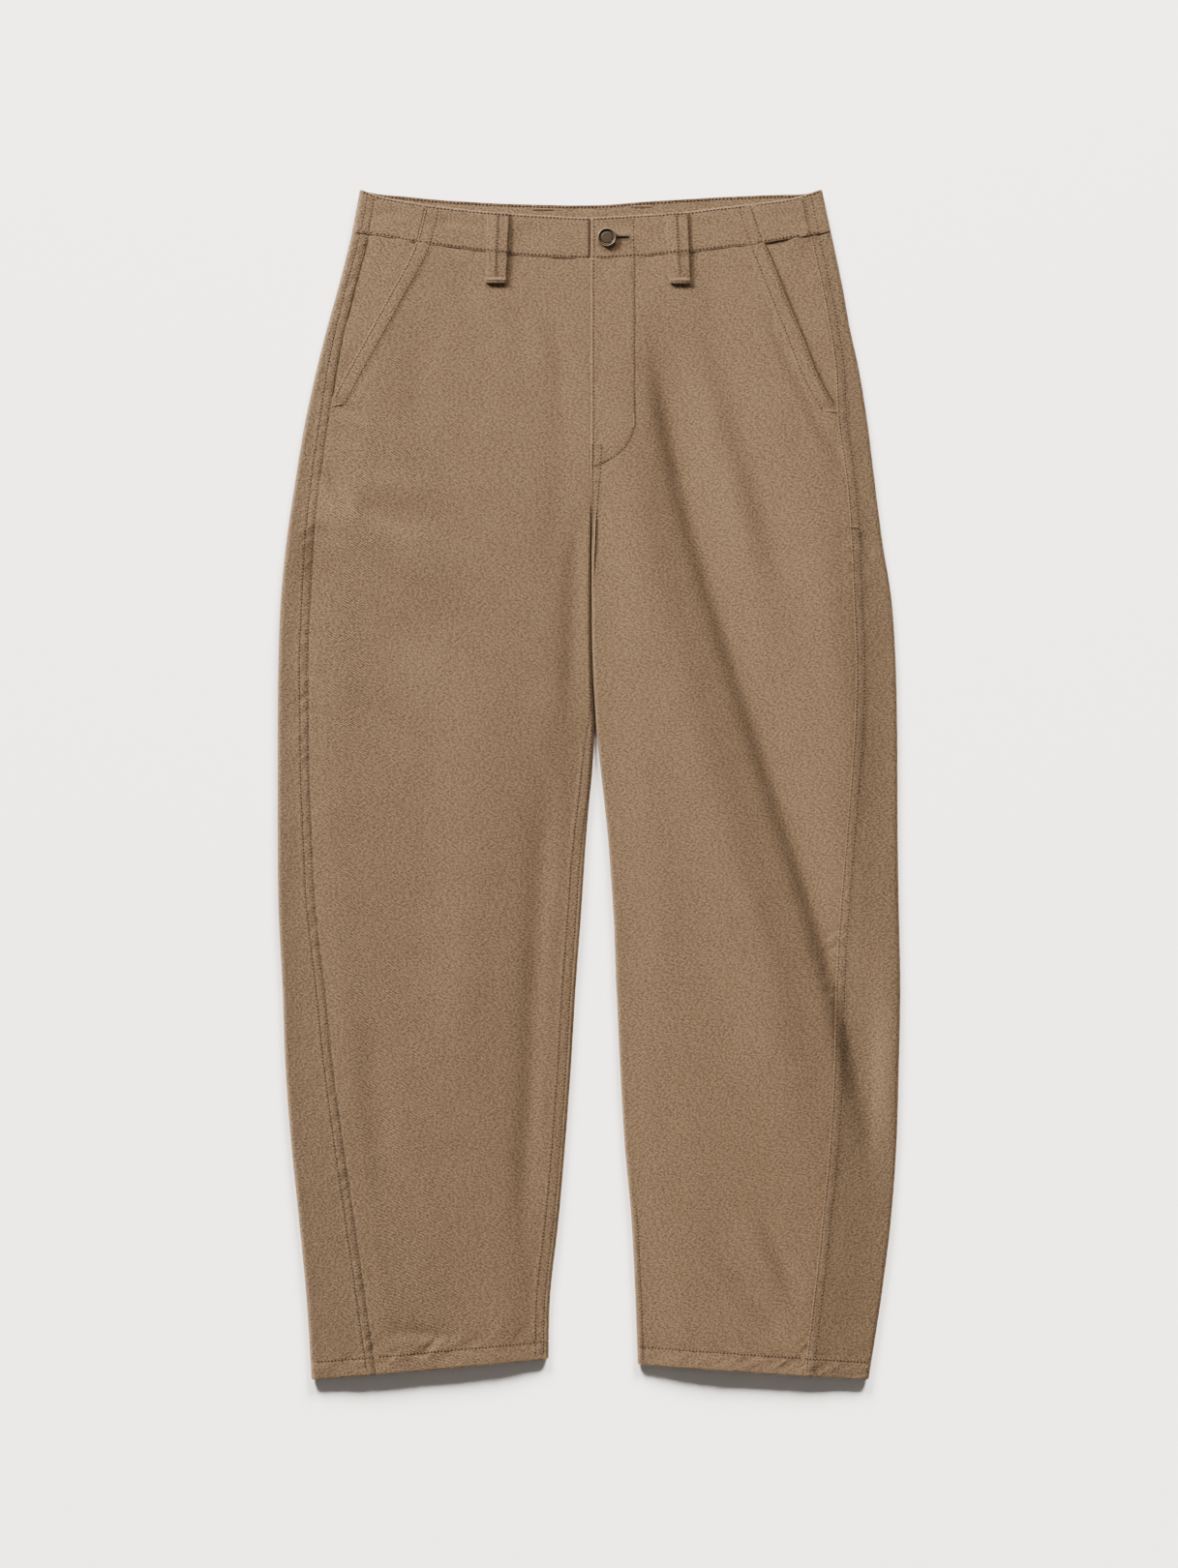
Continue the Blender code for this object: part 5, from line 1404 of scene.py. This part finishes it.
def lay_band_stitches():
    g = "stitches_waist"
    gap = 1.3
    for x0, x1 in ((-142.0, CENTRE_X + 0.6), (CENTRE_X + 2.6, 141.0)):
        sew(g, level_line(lambda x: front_top(x) - 2.0, x0, x1), pitch=3.2, gap=1.5, hole=1.0)
        sew(g, level_line(lambda x: front_base(x) + 1.8, x0, x1), pitch=3.2, gap=1.5, hole=1.0)
    for leg in (RIGHT, LEFT):
        s = leg.side
        a, b = s * (leg.mouth(492.0) + 1.0), s * (leg.outseam(500.0) - 1.0)
        for f in (lambda x: front_top(x) - 2.0, lambda x: front_base(x) + 1.8):
            sew(g, level_line(f, a, b), pitch=3.2, gap=1.5, hole=0.95)
            sew(g, level_line(f, s * (leg.outseam(500.0) + 1.5), s * (leg.outer(500.0) - 4.5)), pitch=3.2, gap=1.5, hole=0.95)
        for at, _ in band_rows(leg):
            y0 = front_top(at(508.0)) - 2.5
            y1 = front_base(at(478.0)) + 1.5
            y = np.linspace(float(y0), float(y1), 8)
            sew(g, np.stack([at(y), y], axis=-1))
    sew(g, [(39.0, 497.0), (39.0, 462.5)])
    sew(g, [(CENTRE_X + 2.4, 494.0), (CENTRE_X + 2.4, 461.5)])
    # the inner face of the back, above the front
    sew(g, level_line(lambda x: back_top(x) - 2.2, -182.0, 184.0), pitch=3.2, gap=1.5, hole=0.95)
    for x in BACK_LOOP_X:
        tack(g, (x - BACK_MARK_W / 2, back_top(x) - 4.2), (x + BACK_MARK_W / 2, back_top(x) - 4.2), wide=1.6)
    for f in (lambda x: back_top(x) - 2.4, lambda x: back_base(x) + 2.2):
        sew("stitches_under", level_line(f, -198.0, 200.0), up=False)


def lay_loop_stitches():
    for name, x, lean, top_y, low_y in FRONT_LOOP_PLACES:
        g = "stitches_waist"
        for off in (-0.7, 0.7):
            sew(g, [(x + off, top_y - 1.0), (x + lean + off, low_y + 4.0)], pitch=2.6, hole=0.55)
        tack(g, (x + lean - 7.6, low_y + 2.6), (x + lean + 7.6, low_y + 2.6), wide=1.8)
    for x in BACK_LOOP_X:
        low_y = float(back_base(x)) - 22.0
        for off in (-0.7, 0.7):
            sew("stitches_under", [(x + off, back_top(x) - 3.0), (x + off, low_y + 5.0)], up=False)
        tack("stitches_under", (x - 7.6, low_y + 2.6), (x + 7.6, low_y + 2.6), wide=1.8, up=False)


def buttonhole():
    """Purl stitches round the slit, and a dark sheet in the slit as its painted shade."""
    a, b = BUTTON_X + 3.0, SLIT_END - 1.6
    y = BUTTON_Y - 0.4
    path = [(x, y + 1.5) for x in np.linspace(a, b, 30)]
    path += [(b + 1.5 * np.cos(t), y + 1.5 * np.sin(t)) for t in np.linspace(np.pi / 2, -np.pi / 2, 8)[1:-1]]
    path += [(x, y - 1.5) for x in np.linspace(b, a, 30)]
    ends = walk(path, 0.62)
    out = np.array([(x, y + np.sign(v - y) * 2.2) if x <= b else (b + (x - b) * 1.5, y + (v - y) * 1.5) for x, v in ends])
    inn = np.array([(x, y + np.sign(v - y) * 0.75) if x <= b else (b + (x - b) * 0.5, y + (v - y) * 0.5) for x, v in ends])
    po, no = cast(out, True)
    pi, ni = cast(inn, True)
    for i in range(len(ends)):
        THREADS.setdefault("buttonhole_purl", []).append((po[i] + no[i] * 0.1, pi[i] + no[i] * 0.25, no[i], 0.30))
    # A dark sheet along the slit, a little above the cloth: painted shade.
    xs = np.linspace(a - 2, b + 0.2, 24)
    verts = []
    for off in (0.62, -0.62):
        p, n = cast([(x, y + off) for x in xs], True)
        verts.append(p + n * 0.05)
    v = np.concatenate(verts)
    k = len(xs)
    faces = np.array([(i, i + k, i + k + 1, i + 1) for i in range(k - 1)])
    mesh_object("buttonhole_slit", v, faces, HOLE_SHADE)


# ---------------------------------------------------------------------------
# Metal
# ---------------------------------------------------------------------------
def metal(name, colour, dark, rough):
    m, nodes, links, shader = node_material(name, rough, metallic=0.9)
    coords = nodes.new("ShaderNodeTexCoord")
    wear = nodes.new("ShaderNodeTexNoise")
    wear.inputs["Scale"].default_value = 900.0
    wear.inputs["Detail"].default_value = 3.0
    links.new(coords.outputs["Object"], wear.inputs["Vector"])
    tone = nodes.new("ShaderNodeAttribute")
    tone.attribute_name = "tone"
    add = nodes.new("ShaderNodeMath")
    add.operation = "MULTIPLY_ADD"
    add.use_clamp = True
    links.new(wear.outputs["Fac"], add.inputs[0])
    add.inputs[1].default_value = 0.5
    links.new(tone.outputs["Fac"], add.inputs[2])
    ramp = nodes.new("ShaderNodeValToRGB")
    ramp.color_ramp.elements[0].color = (*dark, 1.0)
    ramp.color_ramp.elements[1].color = (*colour, 1.0)
    links.new(add.outputs[0], ramp.inputs[0])
    links.new(ramp.outputs["Color"], shader.inputs["Base Color"])
    return m


def lathe(name, profile, centre, mat, tones, segments=72):
    """A turned shape from (radius, height) steps."""
    profile = np.asarray(profile, float)
    a = np.linspace(0, 2 * np.pi, segments + 1)[:-1]
    ring = np.stack([np.cos(a), np.sin(a)], axis=-1)
    verts = np.concatenate([np.concatenate([ring * r, np.full((segments, 1), z)], axis=1) for r, z in profile]) + np.asarray(centre)
    faces = []
    for i in range(len(profile) - 1):
        k = np.arange(segments)
        k2 = (k + 1) % segments
        faces.append(np.stack([i * segments + k, i * segments + k2, (i + 1) * segments + k2, (i + 1) * segments + k], axis=1))
    return mesh_object(name, verts, np.concatenate(faces), mat, None, np.repeat(tones, segments))


def build_button():
    low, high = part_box("button")
    z0, z1 = low[2] / MM + 0.5, high[2] / MM + 0.5
    h = z1 - z0
    k = BUTTON_R / 8.4
    steps = [
        (0.02, 0.80, 0.12), (1.2, 0.80, 0.10), (2.6, 0.795, 0.08), (4.0, 0.79, 0.10), (4.5, 0.80, 0.22), (4.75, 0.76, 0.0),
        (4.95, 0.66, -0.25), (5.2, 0.66, -0.25), (5.5, 0.70, -0.08), (6.2, 0.70, -0.08), (6.5, 0.66, -0.25), (6.75, 0.70, -0.1),
        (6.95, 0.88, 0.42), (7.25, 0.97, 0.62), (7.6, 0.98, 0.60), (7.95, 0.88, 0.40),
        (8.15, 0.66, 0.15), (8.1, 0.42, 0.0), (7.8, 0.28, -0.2), (5.0, 0.22, -0.3),
        (2.6, 0.2, -0.3), (2.6, 0.0, -0.3),
    ]
    profile = [(r * k, z0 + h * z) for r, z, _ in steps]
    tones = np.array([t for _, _, t in steps])
    bronze = metal("antique_bronze", (0.34, 0.25, 0.17), (0.045, 0.030, 0.020), 0.46)
    obj = lathe("button_cap", profile, (BUTTON_X, BUTTON_Y, 0.0), bronze, tones)
    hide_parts("button")
    # a ring of plain dots
    count = 26
    verts, faces, tone = [], [], []
    for i in range(count):
        a = 2 * np.pi * i / count
        cx, cy = BUTTON_X + 5.85 * np.cos(a), BUTTON_Y + 5.85 * np.sin(a)
        base = len(verts)
        for ring, (r, z) in enumerate(((0.44, 0.0), (0.36, 0.16), (0.18, 0.26))):
            for j in range(8):
                b = 2 * np.pi * j / 8
                verts.append((cx + r * np.cos(b), cy + r * np.sin(b), z0 + h * 0.70 + z))
                tone.append(0.2 + 0.2 * ring)
        for ring in range(2):
            for j in range(8):
                faces.append((base + ring * 8 + j, base + ring * 8 + (j + 1) % 8, base + ring * 8 + 8 + (j + 1) % 8, base + ring * 8 + 8 + j))
        top = base + 16
        faces += [(top, top + 1, top + 2, top + 3), (top, top + 3, top + 4, top + 7), (top + 4, top + 5, top + 6, top + 7)]
    dots = mesh_object("button_dots", verts, faces, bronze, None, tone)
    return obj


def build_zip():
    """Tape and two rows of teeth under the fly, where only a parted fly shows them."""
    tape = strip_look("fly_zip", 11.6, 23.4, 2.3, 292.0, TWILL_SHADED)
    brass = metal("zip_brass", (0.42, 0.30, 0.14), (0.08, 0.05, 0.03), 0.4)
    verts, faces = [], []
    for i, y in enumerate(np.arange(455.0, 296.0, -1.7)):
        x = 17.5 + (0.55 if i % 2 else -0.55)
        z = float(top_height(LEFT, x, y)) - 2.15
        base = len(verts)
        for dz in (0.0, 0.45):
            for dx, dy in ((-1.3, -0.5), (1.3, -0.5), (1.3, 0.5), (-1.3, 0.5)):
                verts.append((x + dx, y + dy, z + dz))
        faces += [(base + 4, base + 5, base + 6, base + 7), (base, base + 1, base + 5, base + 4), (base + 1, base + 2, base + 6, base + 5), (base + 2, base + 3, base + 7, base + 6), (base + 3, base, base + 4, base + 7)]
    teeth = mesh_object("zip_teeth", verts, faces, brass, None, np.full(len(verts), 0.3), smooth=False)
    return tape


# ---------------------------------------------------------------------------
# The jeans
# ---------------------------------------------------------------------------
for leg_ in (RIGHT, LEFT):
    front_look(leg_)
    back_look(leg_)
    facing_look(leg_)

END_L = [(0.45 * np.sin(t), -1.2 * (1 - np.cos(t))) for t in np.linspace(0, np.pi, 6)[1:]] + [(-3.0, -2.4)]
SEAM_END = [(0.30 * np.sin(t), -1.2 * (1 - np.cos(t))) for t in np.linspace(0, np.pi, 6)[1:]] + [(-3.0, -2.4)]


def turned(x_low, x_high, side):
    """A band piece's ends in order of x."""
    return (x_low, x_high) if side > 0 else (x_high, x_low)


def under_left(x):
    """How much lower the right end of the band lies, under the left one."""
    return (BAND_WALL + SEAM_GAP) * ease((x - CENTRE_X + 2.6) / 2.3)


for leg_ in (RIGHT, LEFT):
    s_ = leg_.side
    mouth_ = lambda y, leg=leg_: leg.side * leg.mouth(y)
    seam_ = lambda y, leg=leg_: leg.side * leg.outseam(y)
    if s_ < 0:
        band_look("waistband_side_right", lambda y, f=seam_: f(y) + 0.15, lambda y, f=mouth_: f(y) - 0.15, (SEAM_END, SEAM_END))
        band_look("waistband_front_right", lambda y, f=mouth_: f(y) + 0.15, lambda y: 0.0 * y + 39.5, (SEAM_END, END_L), under_left)
    else:
        band_look("waistband_side_left", lambda y, f=mouth_: f(y) + 0.15, lambda y, f=seam_: f(y) - 0.15, (SEAM_END, SEAM_END))
        band_look("waistband_front_left", lambda y: 0.0 * y + CENTRE_X, lambda y, f=mouth_: f(y) - 0.15, (END_L, SEAM_END))
band_back_look()

FRONT_LOOP_PLACES = []
for name_, x_, lean_ in (("right", FRONT_LOOPS["right"] + 1.0, -2.2), ("left", FRONT_LOOPS["left"] - 1.0, 3.2)):
    top_, low_ = float(front_top(x_)) - 0.7, float(front_base(x_)) - 25.8
    FRONT_LOOP_PLACES.append(("belt_loop_front_" + name_, x_, lean_, top_, low_))
    loop_look(
        "belt_loop_front_" + name_, x_, lean_, top_, low_,
        lambda x, y: np.where(x >= CENTRE_X, top_height(LEFT, x, y), top_height(RIGHT, -x, y)) + BAND_PROUD * ease((y - front_base(x) + 3.0) / 4.0), 0.3 + LOOP_PLY)
for name_, x_ in (("right", BACK_LOOP_X[0]), ("left", BACK_LOOP_X[1])):
    top_, low_ = float(back_top(x_)) - 0.8, float(back_base(x_)) - 21.8
    loop_look(
        "belt_loop_back_" + name_, x_, 0.0, top_, low_, lambda x, y: 0.0 * x + 0.75, 0.0, up=False, fold=False)
strip_look("fly_shield", -4.0, 40.0, 3.6, 284.5, TWILL_SHADED)
build_zip()
BUTTON = build_button()

tree("cloth", [n for n in SURFACES])
lay_stitches()
lay_band_stitches()
lay_loop_stitches()
buttonhole()
for name_, items_ in THREADS.items():
    obj_ = build_threads(name_, items_, THREAD_DARK if name_ == "buttonhole_purl" else THREAD)
for name_, items_ in NEEDLE_HOLE_SHADES.items():
    obj_ = build_needle_hole_shades(name_.replace("stitches", "needle_holes"), items_, HOLE_SHADE)

# ---------------------------------------------------------------------------
# Floor, light and camera
# ---------------------------------------------------------------------------
FLOOR_MAT, nodes_, links_, shader_ = node_material("paper_floor", 0.85)
shader_.inputs["Base Color"].default_value = (0.93, 0.868, 0.815, 1.0)
floor_mesh = bpy.data.meshes.new("floor")
floor_mesh.from_pydata([(-6, -6, 0), (6, -6, 0), (6, 6, 0), (-6, 6, 0)], [], [(0, 1, 2, 3)])
FLOOR = bpy.data.objects.new("floor", floor_mesh)
bpy.context.scene.collection.objects.link(FLOOR)
floor_mesh.materials.append(FLOOR_MAT)
FLOOR.location = (0.0, 0.0, -0.0002)

WORLD = bpy.data.worlds.new("studio")
bpy.context.scene.world = WORLD
WORLD.use_nodes = True
WORLD.node_tree.nodes["Background"].inputs["Color"].default_value = (1.0, 0.99, 0.975, 1.0)
WORLD.node_tree.nodes["Background"].inputs["Strength"].default_value = 0.17


def sun(name, azimuth, elevation, level, spread, colour=(1.0, 1.0, 1.0), only=None):
    """A soft light from that side. Azimuth 0 is the waist side and grows to the wearer's right,
    and level is what it adds to a white floor's brightness."""
    data = bpy.data.lights.new(name, "SUN")
    a, e = np.radians(azimuth), np.radians(elevation)
    data.energy = level * np.pi / np.sin(e)
    data.angle = np.radians(spread)
    data.color = colour
    obj = bpy.data.objects.new(name, data)
    bpy.context.scene.collection.objects.link(obj)
    toward = Vector((-np.sin(a) * np.cos(e), np.cos(a) * np.cos(e), np.sin(e)))
    obj.rotation_euler = toward.to_track_quat("Z", "Y").to_euler()
    if only is not None:
        group = bpy.data.collections.new(name + "_on")
        for o in only:
            group.objects.link(o)
        obj.light_linking.receiver_collection = group
    return obj


def panel_light(name, place, aim, size, level):
    """A broad light near the waist side, so that the hems get less of it."""
    data = bpy.data.lights.new(name, "AREA")
    data.shape = "RECTANGLE"
    data.size, data.size_y = size
    away = Vector(place) - Vector(aim)
    data.energy = level * np.pi ** 2 * away.length_squared / (away.z / away.length)
    data.color = (1.0, 0.985, 0.96)
    obj = bpy.data.objects.new(name, data)
    bpy.context.scene.collection.objects.link(obj)
    obj.location = place
    obj.rotation_euler = away.to_track_quat("Z", "Y").to_euler()
    return obj


WARM = (1.0, 0.985, 0.96)
PIECES = [o for o in bpy.context.scene.collection.objects if o.type == "MESH" and o is not FLOOR]
sun("key_left", 54.0, 21.5, 0.92, 16.0, WARM, PIECES)
panel_light("key_top", (-0.1, 2.0, 1.05), (0.0, 0.1, 0.0), (1.8, 0.6), 0.42)
for name_, azimuth_ in (("floor_top_a", 20.0), ("floor_top_b", -20.0)):
    sun(name_, azimuth_, 22.0, 2.15, 18.0, (1.0, 0.985, 0.965), [FLOOR])

CAMERA_DATA = bpy.data.cameras.new("camera")
CAMERA_DATA.lens = 85.0
CAMERA_DATA.sensor_width = 36.0
CAMERA_DATA.clip_end = 50.0
CAMERA = bpy.data.objects.new("camera", CAMERA_DATA)
bpy.context.scene.collection.objects.link(CAMERA)
CAMERA.location = (0.0, 0.0004, 3.2513)
bpy.context.scene.camera = CAMERA

# ---------------------------------------------------------------------------
# The cut of each piece
# ---------------------------------------------------------------------------
CUTS = {
    "front_panel_right": (0.300, 1.030), "front_panel_left": (0.300, 1.030),
    "back_panel_right": (0.400, 1.030), "back_panel_left": (0.400, 1.030),
    "pocket_facing_right": (0.080, 0.175), "pocket_facing_left": (0.080, 0.175),
    "waistband_side_right": (0.048, 0.075), "waistband_side_left": (0.048, 0.075),
    "waistband_front_right": (0.192, 0.075), "waistband_front_left": (0.150, 0.075),
    "waistband_back": (0.455, 0.078),
    "belt_loop_front_right": (0.026, 0.068), "belt_loop_front_left": (0.026, 0.068),
    "belt_loop_back_right": (0.026, 0.068), "belt_loop_back_left": (0.026, 0.068),
    "fly_shield": (0.048, 0.182), "fly_zip": (0.016, 0.170),
}
for name_, (w_, l_) in CUTS.items():
    print("sheet", name_, round(AREAS[name_], 5), "share", round(AREAS[name_] / (w_ * l_), 3))
for name_, (w_, l_) in CUTS.items():
    ["floor"] if name_.startswith("back_panel") else ["back_panel_right" if "right" in name_ else "back_panel_left"]

tris_ = {}
for obj_ in bpy.data.objects:
    if obj_.type == "MESH" and obj_.name not in frame["nodes"] and obj_ is not FLOOR:
        tris_[obj_.name] = sum(len(p.vertices) - 2 for p in obj_.data.polygons)
print("triangles", sum(tris_.values()), sorted(tris_.items(), key=lambda t: -t[1])[:12])
